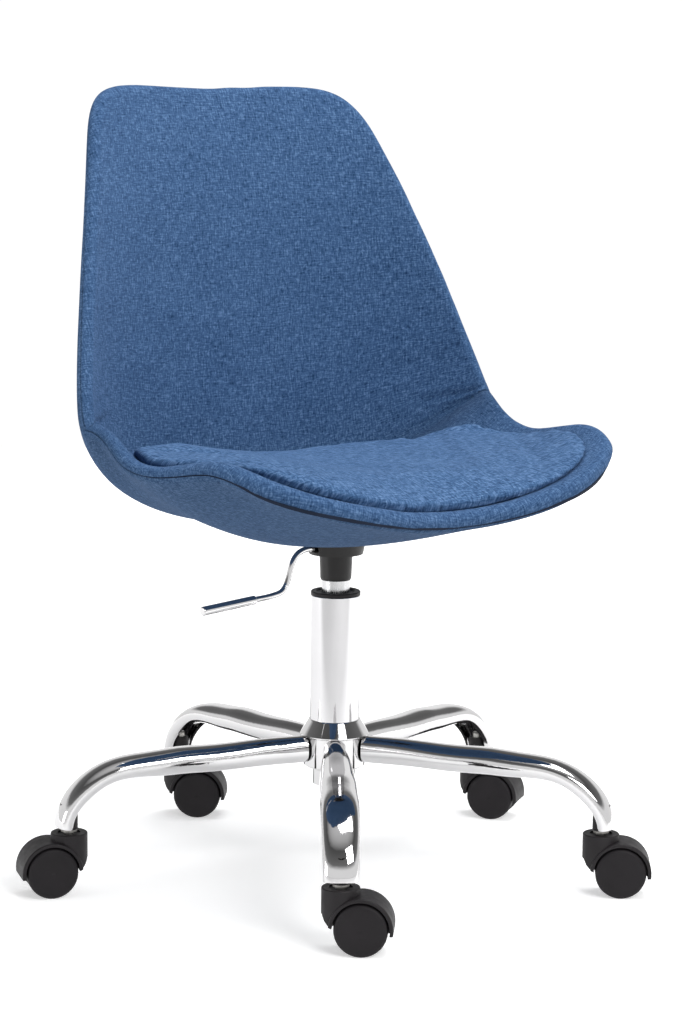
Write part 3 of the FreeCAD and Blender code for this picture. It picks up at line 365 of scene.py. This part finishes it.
CLOTH = cloth_material("cloth_blue_melange", (0.008, 0.026, 0.072), (0.038, 0.087, 0.190), (0.112, 0.200, 0.360))
CLOTH_C = cloth_material("cloth_cushion", (0.007, 0.026, 0.074), (0.048, 0.108, 0.228), (0.150, 0.256, 0.445), 0.75)
CLOTH_R = cloth_material("cloth_rear_cover", (0.010, 0.028, 0.070), (0.044, 0.091, 0.186), (0.120, 0.202, 0.345))
CHROME = chrome_material("chrome_plate", 0.05, (0.63, 0.625, 0.63))
CHROME_S = chrome_material("chrome_column", 0.05, (0.62, 0.615, 0.625))
STEEL = steel_material("ground_steel")
CYL = steel_material("gas_cylinder_steel", (0.62, 0.62, 0.63), 0.22)
ZINC = steel_material("zinc_steel", (0.42, 0.41, 0.39), 0.34, (1, 1, 1))
BLACK = plastic_material("black_nylon", (0.0125, 0.0108, 0.0122), 0.50, 1.6, 0.12, 0.22)
WHEELM = plastic_material("wheel_nylon", (0.0105, 0.0090, 0.0105), 0.55, 2.0, 0.10, 0.20)
SOCKETM = plastic_material("black_powder_coat", (0.012, 0.011, 0.011), 0.38, 1.2, 0.2, 0.3)
SEAL = plastic_material("nitrile_rubber", (0.015, 0.015, 0.015), 0.65)
SHELLM = plastic_material("shell_polypropylene", (0.010, 0.016, 0.032), 0.7, 1.6, 0.12, 0.12)
THREAD = plastic_material("seam_thread", (0.018, 0.034, 0.075), 0.8, 3.0, 0.3, 0.2)

by_slot = {"chrome": CHROME, "black_plastic": BLACK, "wheel_plastic": WHEELM, "steel": STEEL, "zinc_steel": ZINC,
           "black_metal": SOCKETM, "seal": SEAL, "shell": SHELLM, "cloth": CLOTH, "cover_cloth": CLOTH_R, "cushion_cloth": CLOTH_C}
slot_of = {p["node"]: p["material_slot"] for p in frame["record"]["subparts"]}
special = {"column_tube": CHROME_S, "gas_cylinder": CYL}
for name, o in NODES.items():
    o.data.materials.clear()
    o.data.materials.append(special.get(name, by_slot[slot_of[name]]))


# =====================================================================
# mesh helpers
# =====================================================================
def new_mesh(name, verts, faces, mat, cloth=None, smooth_shade=True):
    me = bpy.data.meshes.new(name)
    me.from_pydata([tuple(v) for v in np.asarray(verts) / 1000.0], [], faces)
    me.update()
    o = bpy.data.objects.new(name, me)
    scene.collection.objects.link(o)
    me.materials.append(mat)
    if cloth is not None:
        at = me.attributes.new("cloth_mm", "FLOAT_VECTOR", "POINT")
        at.data.foreach_set("vector", np.asarray(cloth, np.float32).ravel())
    me.polygons.foreach_set("use_smooth", [smooth_shade] * len(me.polygons))
    return o


def arc_map(x, s):
    """cloth coordinates in mm: across, along the profile"""
    t = np.linspace(-0.08, 1.02, 400)
    P = np.stack([FY(t), FZ(t)], 1)
    L = np.concatenate([[0], np.cumsum(np.linalg.norm(np.diff(P, axis=0), axis=1))])
    along = np.interp(s, t, L)
    return np.stack([np.sign(x) * np.abs(x) * 1.06, along, np.zeros_like(x)], -1)


def swell(s):
    """extra pad thickness towards the front lip"""
    return 4.0 * (1 - smooth(0.08, 0.30, s))


def seatness(t):
    """1 on the seat's part of the rim, 0 on the back's part, by outline parameter"""
    return 1 - smooth(0.50, 0.60, t)


# =====================================================================
# upholstered bucket: front panel with its rolled edge, and rear cover
# =====================================================================
R_ROLL = 8.6
inner_f = rim_curve(RIM, R_ROLL)
NU, NV = ((44, 150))
X, S, AA, BB, LOOP, TL = net(inner_f, 0.175, 0.835, NU, NV)
W = X.shape[1]
P0, N0 = ref(X, S), normal(X, S)


def wrinkles(x, s, front=1.0):
    """height in mm of creases and padding swell on the front panel"""
    h = np.zeros_like(x)
    ax = np.abs(x)
    # pull creases where the back turns into the seat, each side
    for (cx, cs, ang, length, width, depth, side) in [
            (247, 0.653, -0.55, 19, 2.6, -3.6, 1), (240, 0.670, -0.50, 24, 5.0, 1.6, 1), (244, 0.636, -0.55, 20, 4.0, 1.8, 1),
            (222, 0.668, -0.35, 26, 3.0, -1.6, 1), (238, 0.372, 0.9, 16, 3.5, -1.0, 1),
            (186, 0.725, 0.18, 44, 7.0, -1.3, 1), (222, 0.60, 0.55, 34, 5.0, -2.4, 1), (200, 0.775, 0.10, 36, 8.0, -0.8, 1),
            (233, 0.668, -0.575, 28, 2.8, -2.8, -1), (226, 0.688, -0.5, 26, 5.0, 1.5, -1), (236, 0.650, -0.575, 24, 4.5, 1.4, -1)]:
        m = (np.sign(x) == side) | (x == 0)
        du = (ax - cx)
        dv = (s - cs) * 820.0
        u = du * math.cos(ang) + dv * math.sin(ang)
        v = -du * math.sin(ang) + dv * math.cos(ang) + 0.004 * u * u
        g = depth * np.exp(-(v / width) ** 2) * np.exp(-(u / length) ** 4)
        h += np.where(m, g, 0)
    # the tuck behind each wing's roll: a groove from the rim down to the cushion's rear corner
    gx, gs = np.array([212.0, 224.0, 236.0, 249.0, 264.0]), np.array([0.415, 0.47, 0.52, 0.565, 0.605])
    best = np.full(x.shape, 1e9)
    side_of = np.zeros(x.shape)
    for k in range(len(gx) - 1):
        ax0, as0, ax1, as1 = gx[k], gs[k] * 700.0, gx[k + 1], gs[k + 1] * 700.0
        dx_, dy_ = ax1 - ax0, as1 - as0
        t_ = np.clip(((ax - ax0) * dx_ + (s * 700.0 - as0) * dy_) / (dx_ * dx_ + dy_ * dy_), 0, 1)
        px_, py_ = ax - ax0 - t_ * dx_, s * 700.0 - as0 - t_ * dy_
        dd = np.hypot(px_, py_)
        sg = np.sign(px_ * dy_ - py_ * dx_)
        side_of = np.where(dd < best, sg, side_of)
        best = np.minimum(best, dd)
    strong = np.where(x < 0, 1.0, 0.0)
    h += -4.6 * strong * np.exp(-(best / 3.6) ** 2)
    h += 3.0 * strong * np.exp(-((best - 12.0) / 8.0) ** 2) * (side_of > 0)
    # soft hollow along the fold between back and seat
    h += -2.2 * np.exp(-((s - 0.555) / 0.022) ** 2) * smooth(240, 150, ax)
    return h * front


def lumps(P, amp, scale, seed):
    sh = P.shape
    return amp * value_noise(P.reshape(-1, 3) + 500.0, scale, seed).reshape(sh[:-1])


PAD_IN = 9.5
# thickness of the pad: fuller along the seat's lip
seat_w = 1 - smooth(0.44, 0.56, S)
base_off = PAD_IN + swell(S) + wrinkles(X, S) + lumps(P0, 0.55, 42.0, 3) + lumps(P0, 0.22, 16.0, 4)
inner_pts = P0 + N0 * base_off[..., None]
verts = list(inner_pts.reshape(-1, 3))
cloth = list(arc_map(X, S).reshape(-1, 3))
faces = []
H = X.shape[0]
for j in range(H - 1):
    for i in range(W - 1):
        a = j * W + i
        faces.append((a, a + 1, a + W + 1, a + W))

# rolled edge
lp = np.array([P0[q] for q in LOOP])
ln = np.array([N0[q] for q in LOOP])
lc = np.array([arc_map(X, S)[q] for q in LOOP])
nl = len(LOOP)
tan = np.roll(lp, -1, 0) - np.roll(lp, 1, 0)
tan /= np.linalg.norm(tan, axis=1, keepdims=True)
edge = np.cross(tan, ln)
edge /= np.linalg.norm(edge, axis=1, keepdims=True)
ct = np.roll(lc, -1, 0) - np.roll(lc, 1, 0)
ct /= np.linalg.norm(ct, axis=1, keepdims=True) + 1e-9
cedge = np.stack([ct[:, 1], -ct[:, 0], np.zeros(nl)], 1)
for _ in range(6):
    cedge = np.roll(cedge, 1, 0) * 0.25 + cedge * 0.5 + np.roll(cedge, -1, 0) * 0.25
for _ in range(3):
    edge = np.roll(edge, 1, 0) * 0.25 + edge * 0.5 + np.roll(edge, -1, 0) * 0.25
edge /= np.linalg.norm(edge, axis=1, keepdims=True)
sw = seatness(TL)
OUT_OFF = -6.3
top = np.array([base_off[q] for q in LOOP])
# lip is fuller on the seat
puff = 0.0 * sw
mid = (top + OUT_OFF) / 2
half = (top - OUT_OFF) / 2
SEAM_TH = np.radians(113 + 18 * sw)
rings = 14
pucker = lumps(lp[:, None, :] * 1.0, 0.5, 22.0, 9)[:, 0]
first = [j * W + i for (j, i) in LOOP]
prev = first
seam_pts = None
ring_list = []
for k in range(1, rings + 1):
    th = SEAM_TH * k / rings
    rr = 1.0 + 0.0 * th
    e = R_ROLL * np.sin(th) * (1 + 0.10 * sw * np.sin(th)) + puff * np.sin(th) ** 2 + pucker * np.sin(th)
    z = mid + (half + puff * 0.4 * np.sin(th)) * np.cos(th)
    p = lp + edge * e[:, None] + ln * z[:, None]
    c = lc + cedge * (R_ROLL * th)[:, None]
    base = len(verts)
    verts.extend(p)
    cloth.extend(c)
    cur = list(range(base, base + nl))
    for i in range(nl):
        j2 = (i + 1) % nl
        faces.append((prev[i], cur[i], cur[j2], prev[j2]))
    prev = cur
    ring_list.append(p)
seam_pts = ring_list[-1].copy()
# the hem turns in at the seam
for k, (de, dn) in enumerate([(-1.0, 0.9), (-2.2, 2.4), (-2.6, 4.4)]):
    p = seam_pts + edge * de + ln * dn
    base = len(verts)
    verts.extend(p)
    cloth.extend(lc + cedge * (R_ROLL * SEAM_TH + 2 + k)[:, None])
    cur = list(range(base, base + nl))
    for i in range(nl):
        j2 = (i + 1) % nl
        faces.append((prev[i], cur[i], cur[j2], prev[j2]))
    prev = cur
faces = [f[::-1] for f in faces]
front_panel = new_mesh("front_upholstery", verts, [f[::-1] for f in faces], CLOTH, cloth)

# painted shade: the cloth colour is darkened in the fold between back and seat, more so on the right wing
painted_fold_shade = np.zeros(len(verts), np.float32)
painted_fold_shade[:H * W] = (np.exp(-((S - 0.50) / np.where(S < 0.50, 0.16, 0.11)) ** 2) * (0.45 + 0.55 * smooth(20, 230, X))).reshape(-1)
loop_painted_fold_shade = np.array([painted_fold_shade[q] for q in first])
painted_fold_shade[H * W:H * W + rings * nl] = np.tile(loop_painted_fold_shade, rings)
front_panel.data.attributes.new("painted_fold_shade", "FLOAT", "POINT").data.foreach_set("value", painted_fold_shade)

# rear cover: outer face of the bucket up to the seam
OX, OS, _, _, OLOOP, OTL = net(inner_f, 0.175, 0.835, NU, NV)
OP, ON = ref(OX, OS), normal(OX, OS)
dist_edge = 1.0
out_off = OUT_OFF - lumps(OP, 0.35, 50.0, 21) * 1.0
opts = OP + ON * out_off[..., None]
# hole round the seat plate
verts2 = list(opts.reshape(-1, 3))
cloth2 = list(arc_map(OX, OS).reshape(-1, 3))
faces2 = []
hole_r = 33.5
idx_hole = set()
rad = np.hypot(opts[..., 0], opts[..., 1])
low = opts[..., 2] < 420
for j in range(H - 1):
    for i in range(W - 1):
        a = j * W + i
        q = [(j, i), (j, i + 1), (j + 1, i + 1), (j + 1, i)]
        if all(low[t] and rad[t] < hole_r + 2.0 for t in q):
            continue
        faces2.append((a, a + W, a + W + 1, a + 1))
# snap the hole's edge to a circle
used = {}
for f in faces2:
    n_ = len(f)
    for k in range(n_):
        e_ = tuple(sorted((f[k], f[(k + 1) % n_])))
        used[e_] = used.get(e_, 0) + 1
border = set()
for e_, c_ in used.items():
    if c_ == 1:
        border.update(e_)
for v_ in border:
    x_, y_, z_ = verts2[v_]
    r_ = math.hypot(x_, y_)
    if r_ < 60 and z_ < 420:
        k_ = hole_r / r_
        verts2[v_] = np.array([x_ * k_, y_ * k_, z_])
        j_, i_ = divmod(v_, W)
ofirst = [j * W + i for (j, i) in OLOOP]
prev = ofirst
olp = np.array([OP[q] for q in OLOOP])
oln = np.array([ON[q] for q in OLOOP])
oof = np.array([out_off[q] for q in OLOOP])
TH0, TH1 = math.pi, SEAM_TH + 0.12
for k in range(1, 7):
    th = TH0 + (TH1 - TH0) * k / 6.0
    e = R_ROLL * np.sin(th) * (1 + 0.10 * sw * np.sin(th)) + (puff * np.sin(th) ** 2 + pucker * np.sin(th)) * 1.0
    z = mid + (half + puff * 0.4 * np.sin(th)) * np.cos(th)
    blend_ = k / 6.0
    p = olp + edge * e[:, None] + oln * (z + (oof - OUT_OFF) * (1 - blend_))[:, None]
    base = len(verts2)
    verts2.extend(p)
    cloth2.extend(lc + cedge * (R_ROLL * (math.pi - th))[:, None])
    cur = list(range(base, base + nl))
    for i in range(nl):
        j2 = (i + 1) % nl
        faces2.append((prev[i], prev[j2], cur[j2], cur[i]))
    prev = cur
last = np.array(verts2[-nl:])
for k, (de, dn) in enumerate([(-0.9, 1.3), (-2.0, 3.0)]):
    p = last + edge * de + ln * dn
    base = len(verts2)
    verts2.extend(p)
    cloth2.extend(lc + cedge * (R_ROLL + 2 + k))
    cur = list(range(base, base + nl))
    for i in range(nl):
        j2 = (i + 1) % nl
        faces2.append((prev[i], prev[j2], cur[j2], cur[i]))
    prev = cur
rear_cover = new_mesh("rear_cover_cloth", verts2, faces2, CLOTH_R, cloth2)

for o, thick in ((front_panel, 0.0016), (rear_cover, 0.0012)):
    md = o.modifiers.new("thickness", "SOLIDIFY")
    md.thickness = thick
    md.offset = -1.0
    md.use_even_offset = False


# =====================================================================
# seat cushion
# =====================================================================
cf = rim_curve(CUSHION, 0.0)
CNU, CNV = ((40, 66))
CX, CS, CA, CB, CLOOP, CTL = net(cf, 0.30, 0.74, CNU, CNV, 0.5, 0.5)
CX = CX * (1 + 0.022 * (CX < 0) * smooth(0.10, 0.24, CS) * (1 - smooth(0.42, 0.50, CS)))
CP, CN_ = ref(CX, CS), normal(CX, CS)
ra, rb = np.abs(CA), np.abs(2 * CB - 1)
kk = np.clip((1 - ra ** 5) * (1 - rb ** np.where(CB > 0.5, 9.0, 4.5)), 0, 1)
UP = np.array([0, -0.16, 0.987])
BASE = 9.9
low_pts = CP + CN_ * (BASE + swell(CS))[..., None]
full = 410.0 + np.where(CX < 0, 36.0, 9.0) * (np.abs(CX) / 225.0) ** np.where(CX < 0, 1.7, 3.0) + 5.0 * CB - low_pts[..., 2]
full = 0.5 * (full + 10.0 + np.sqrt((full - 10.0) ** 2 + 36.0))
crown = full * np.sqrt(kk)
high_pts = low_pts + UP * (3.0 + crown)[..., None]
ch, cw = CX.shape
cverts = list(high_pts.reshape(-1, 3)) + list(low_pts.reshape(-1, 3))
off = ch * cw
cfaces = []
for j in range(ch - 1):
    for i in range(cw - 1):
        a = j * cw + i
        cfaces.append((a, a + 1, a + cw + 1, a + cw))
        cfaces.append((off + a, off + a + cw, off + a + cw + 1, off + a + 1))
cl = [j * cw + i for (j, i) in CLOOP]
for i in range(len(cl)):
    a, b = cl[i], cl[(i + 1) % len(cl)]
    cfaces.append((a, off + a, off + b, b))
cushion = new_mesh("seat_cushion_cloth", cverts, cfaces, CLOTH_C)


def simulate_pad(o, voxel, pressure, frames, cap_mm, keep_low):
    """voxel remesh, inflate as cloth, cap the swell, and apply"""
    rest_mesh = o.data.copy()
    bpy.context.view_layer.objects.active = o
    for q in bpy.context.selected_objects:
        q.select_set(False)
    o.select_set(True)
    rm = o.modifiers.new("remesh", "REMESH")
    rm.mode = "VOXEL"
    rm.voxel_size = voxel
    rm.use_smooth_shade = True
    bpy.ops.object.modifier_apply(modifier=rm.name)
    me = o.data
    n = len(me.vertices)
    co0 = np.zeros(n * 3)
    me.vertices.foreach_get("co", co0)
    co0 = co0.reshape(-1, 3)
    vg = o.vertex_groups.new(name="pin")
    x, y, z = co0.T
    w = keep_low(co0)
    for i in range(n):
        vg.add([i], float(w[i]), "REPLACE")
    cm = o.modifiers.new("cloth", "CLOTH")
    st = cm.settings
    st.quality = 4
    st.mass = 0.25
    st.tension_stiffness = 18
    st.compression_stiffness = 12
    st.shear_stiffness = 8
    st.bending_stiffness = 1.2
    st.use_pressure = True
    st.uniform_pressure_force = pressure
    st.vertex_group_mass = "pin"
    st.pin_stiffness = 6.0
    st.effector_weights.gravity = 0.0
    cm.collision_settings.use_self_collision = False
    cm.collision_settings.use_collision = False
    cm.point_cache.frame_start = 1
    cm.point_cache.frame_end = frames
    for f in range(1, frames + 1):
        scene.frame_set(f)
    dg = bpy.context.evaluated_depsgraph_get()
    ev = o.evaluated_get(dg)
    co = np.zeros(n * 3)
    ev.data.vertices.foreach_get("co", co)
    co = co.reshape(-1, 3)
    o.modifiers.remove(cm)
    d = co - co0
    L = np.linalg.norm(d, axis=1, keepdims=True) + 1e-12
    cap = cap_mm / 1000.0
    d = d / L * np.minimum(L, cap) * (1 - w)[:, None]
    out = co0 + d
    me.vertices.foreach_set("co", out.ravel().astype(np.float32))
    me.update()
    scene.frame_set(1)
    bpy.data.meshes.remove(rest_mesh)
    return out


# outline of the seam as a 3-D line, for measuring distance to it
seam_line = np.array([low_pts[q] + CN_[q] * 1.0 for q in CLOOP])


def seam_distance(co_mm):
    out = np.full(len(co_mm), 1e9)
    for a in range(0, len(seam_line)):
        p, q = seam_line[a], seam_line[(a + 1) % len(seam_line)]
        d = q - p
        t = np.clip(((co_mm - p) @ d) / (d @ d + 1e-9), 0, 1)
        dd = np.linalg.norm(co_mm - (p + t[:, None] * d), axis=1)
        out = np.minimum(out, dd)
    return out


def pin_weights(co):
    d = seam_distance(co * 1000.0)
    return np.clip(1 - d / 14.0, 0, 1) ** 1.2


simulate_pad(cushion, 0.005, 4.0, 20, 6.0, pin_weights)
sub = cushion.modifiers.new("sub", "SUBSURF")
sub.levels = 1
sub.render_levels = 1
bpy.context.view_layer.objects.active = cushion
cushion.select_set(True)
bpy.ops.object.modifier_apply(modifier="sub")
me = cushion.data
n = len(me.vertices)
co = np.zeros(n * 3)
me.vertices.foreach_get("co", co)
co = co.reshape(-1, 3) * 1000.0
d = seam_distance(co)
bm_n = np.zeros(n * 3)
me.vertices.foreach_get("normal", bm_n)
nn = bm_n.reshape(-1, 3)
# sewn edge: pulled in at the seam with small puckers
ang = np.arctan2(co[:, 1] + 30.0, co[:, 0])
puck = value_noise(np.stack([np.cos(ang) * 260, np.sin(ang) * 260, co[:, 2] * 0.2], 1) + 700, 9.0, 31)
co = co - nn * ((2.2 * np.exp(-(d / 3.2) ** 2)) + (0.9 * puck * np.exp(-((d - 9) / 9.0) ** 2)))[:, None]
co = co + nn * (0.5 * value_noise(co + 300, 38.0, 33) + 0.18 * value_noise(co + 900, 14.0, 34))[:, None] * smooth(4, 26, d)[:, None]
me.vertices.foreach_set("co", (co / 1000.0).ravel().astype(np.float32))
me.update()
at = me.attributes.new("cloth_mm", "FLOAT_VECTOR", "POINT")
at.data.foreach_set("vector", np.stack([co[:, 0], co[:, 1] + co[:, 2] * 1.0, np.zeros(n)], 1).astype(np.float32).ravel())
me.polygons.foreach_set("use_smooth", [True] * len(me.polygons))
me.materials.clear()
me.materials.append(CLOTH_C)

# =====================================================================
# riding and replacing
# =====================================================================
for o in (front_panel, rear_cover, cushion):
    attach(o, "seat")
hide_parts("inner_lining")
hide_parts("rear_cover")
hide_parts("seat_cushion")

# =====================================================================
# floor, light, camera
# =====================================================================
fl = bpy.data.meshes.new("studio_floor")
fl.from_pydata([(3.4 * math.cos(k * math.pi / 48), 3.4 * math.sin(k * math.pi / 48), 0) for k in range(96)], [], [list(range(96))])
floor = bpy.data.objects.new("studio_floor", fl)
scene.collection.objects.link(floor)
M = Mat("pale_floor")
v = obj_coords(M, 1.0)
M.l(M.ramp(M.noise(v, 3.0, 3.0, 0.5), [(0.3, (0.86, 0.86, 0.86)), (0.7, (0.88, 0.88, 0.88))]), M.b.inputs["Base Color"])
M.b.inputs["Roughness"].default_value = 0.9
M.b.inputs["Specular IOR Level"].default_value = 0.05
M.b.inputs["Emission Color"].default_value = (1, 1, 1, 1)
ln_ = M.n("ShaderNodeVectorMath", operation="LENGTH")
M.l(v, ln_.inputs[0])
glow = M.ramp(M.math("MULTIPLY", ln_.outputs["Value"], 0.3), [(0.0, (0.42,) * 3), (0.25, (0.52,) * 3), (0.55, (0.80,) * 3), (0.8, (1.05,) * 3)])
# the half of the floor in front of the chair has its light from the lamps alone
front = M.n("ShaderNodeVectorMath", operation="DOT_PRODUCT")
M.l(v, front.inputs[0])
front.inputs[1].default_value = (math.sin(math.radians(41.35)), math.cos(math.radians(41.35)), 0)
behind = M.ramp(M.math("ADD", M.math("MULTIPLY", front.outputs["Value"], 0.5), 0.5), [(0.0, (0.0,) * 3), (0.12, (0.0,) * 3), (0.30, (1.0,) * 3), (1.0, (1.0,) * 3)])
M.l(M.math("MULTIPLY", glow, behind), M.b.inputs["Emission Strength"])
fl.materials.append(M.m)
floor.visible_diffuse = False

AZ = math.radians(-41.35)
PITCH, YAW, ROLL = math.radians(8.553), math.radians(0.105), math.radians(0.543)
DIST, HGT, FPX = 2.7606, 0.781, 2810.96


def turn(v):
    c, s = math.cos(AZ), math.sin(AZ)
    return Vector((c * v[0] - s * v[1], s * v[0] + c * v[1], v[2]))


fw = turn((math.sin(YAW) * math.cos(PITCH), math.cos(YAW) * math.cos(PITCH), -math.sin(PITCH)))
rt = turn((math.cos(YAW), -math.sin(YAW), 0))
up = rt.cross(fw)
c, s = math.cos(ROLL), math.sin(ROLL)
r2, u2 = rt * c + up * s, up * c - rt * s
cam_data = bpy.data.cameras.new("camera")
cam_data.sensor_fit = "VERTICAL"
cam_data.sensor_height = 24.0
cam_data.lens = FPX / 1024.0 * 24.0
cam_data.clip_end = 50
cam = bpy.data.objects.new("camera", cam_data)
scene.collection.objects.link(cam)
cam.matrix_world = Matrix(((r2.x, u2.x, -fw.x, 0), (r2.y, u2.y, -fw.y, 0), (r2.z, u2.z, -fw.z, 0), (0, 0, 0, 1)))
cam.matrix_world.translation = turn((0, -DIST, HGT))
scene.camera = cam


def area(name, loc, target, size, power, color=(1, 1, 1), size_y=None):
    ld = bpy.data.lights.new(name, "AREA")
    ld.energy = power
    ld.color = color
    ld.shape = "RECTANGLE"
    ld.size = size
    ld.size_y = size_y or size
    o = bpy.data.objects.new(name, ld)
    scene.collection.objects.link(o)
    loc, target = turn(loc), turn(target)
    o.location = loc
    o.rotation_euler = (target - loc).to_track_quat("-Z", "Y").to_euler()
    return o


area("key", (1.5, -2.3, 2.2), (0, 0, 0.45), 1.5, 62, size_y=1.5)
area("top_soft", (0.5, 0.2, 2.6), (0, 0, 0.4), 1.5, 50)
area("fill_left", (-2.6, -1.3, 0.35), (0, 0, 0.4), 1.1, 22, size_y=0.9)

# a pale studio: white backdrop to a good height behind, darker ceiling, white again behind the camera
world = bpy.data.worlds.new("studio")
scene.world = world
world.use_nodes = True
nt = world.node_tree
nt.nodes.clear()
wo = nt.nodes.new("ShaderNodeOutputWorld")
bg = nt.nodes.new("ShaderNodeBackground")
tc = nt.nodes.new("ShaderNodeTexCoord")
sep = nt.nodes.new("ShaderNodeSeparateXYZ")
rp = nt.nodes.new("ShaderNodeValToRGB")
nt.links.new(tc.outputs["Generated"], sep.inputs[0])
mm = nt.nodes.new("ShaderNodeMath")
mm.operation = "MULTIPLY_ADD"
mm.inputs[1].default_value = 0.5
mm.inputs[2].default_value = 0.5
nt.links.new(sep.outputs["Z"], mm.inputs[0])
nt.links.new(mm.outputs[0], rp.inputs[0])
els = rp.color_ramp.elements
stops = [(0.0, 0.70), (0.22, 0.70), (0.36, 0.75), (0.44, 1.0), (0.64, 1.0), (0.71, 0.20), (0.88, 0.10), (0.95, 0.5), (1.0, 0.7)]
while len(els) < len(stops):
    els.new(0.5)
for e, (p_, c_) in zip(els, stops):
    e.position = p_
    e.color = (c_, c_, c_, 1)
nt.links.new(rp.outputs[0], bg.inputs[0])
bg.inputs[1].default_value = 1.02
nt.links.new(bg.outputs[0], wo.inputs[0])
scene.view_settings.view_transform = "Standard"

bpy.context.view_layer.update()
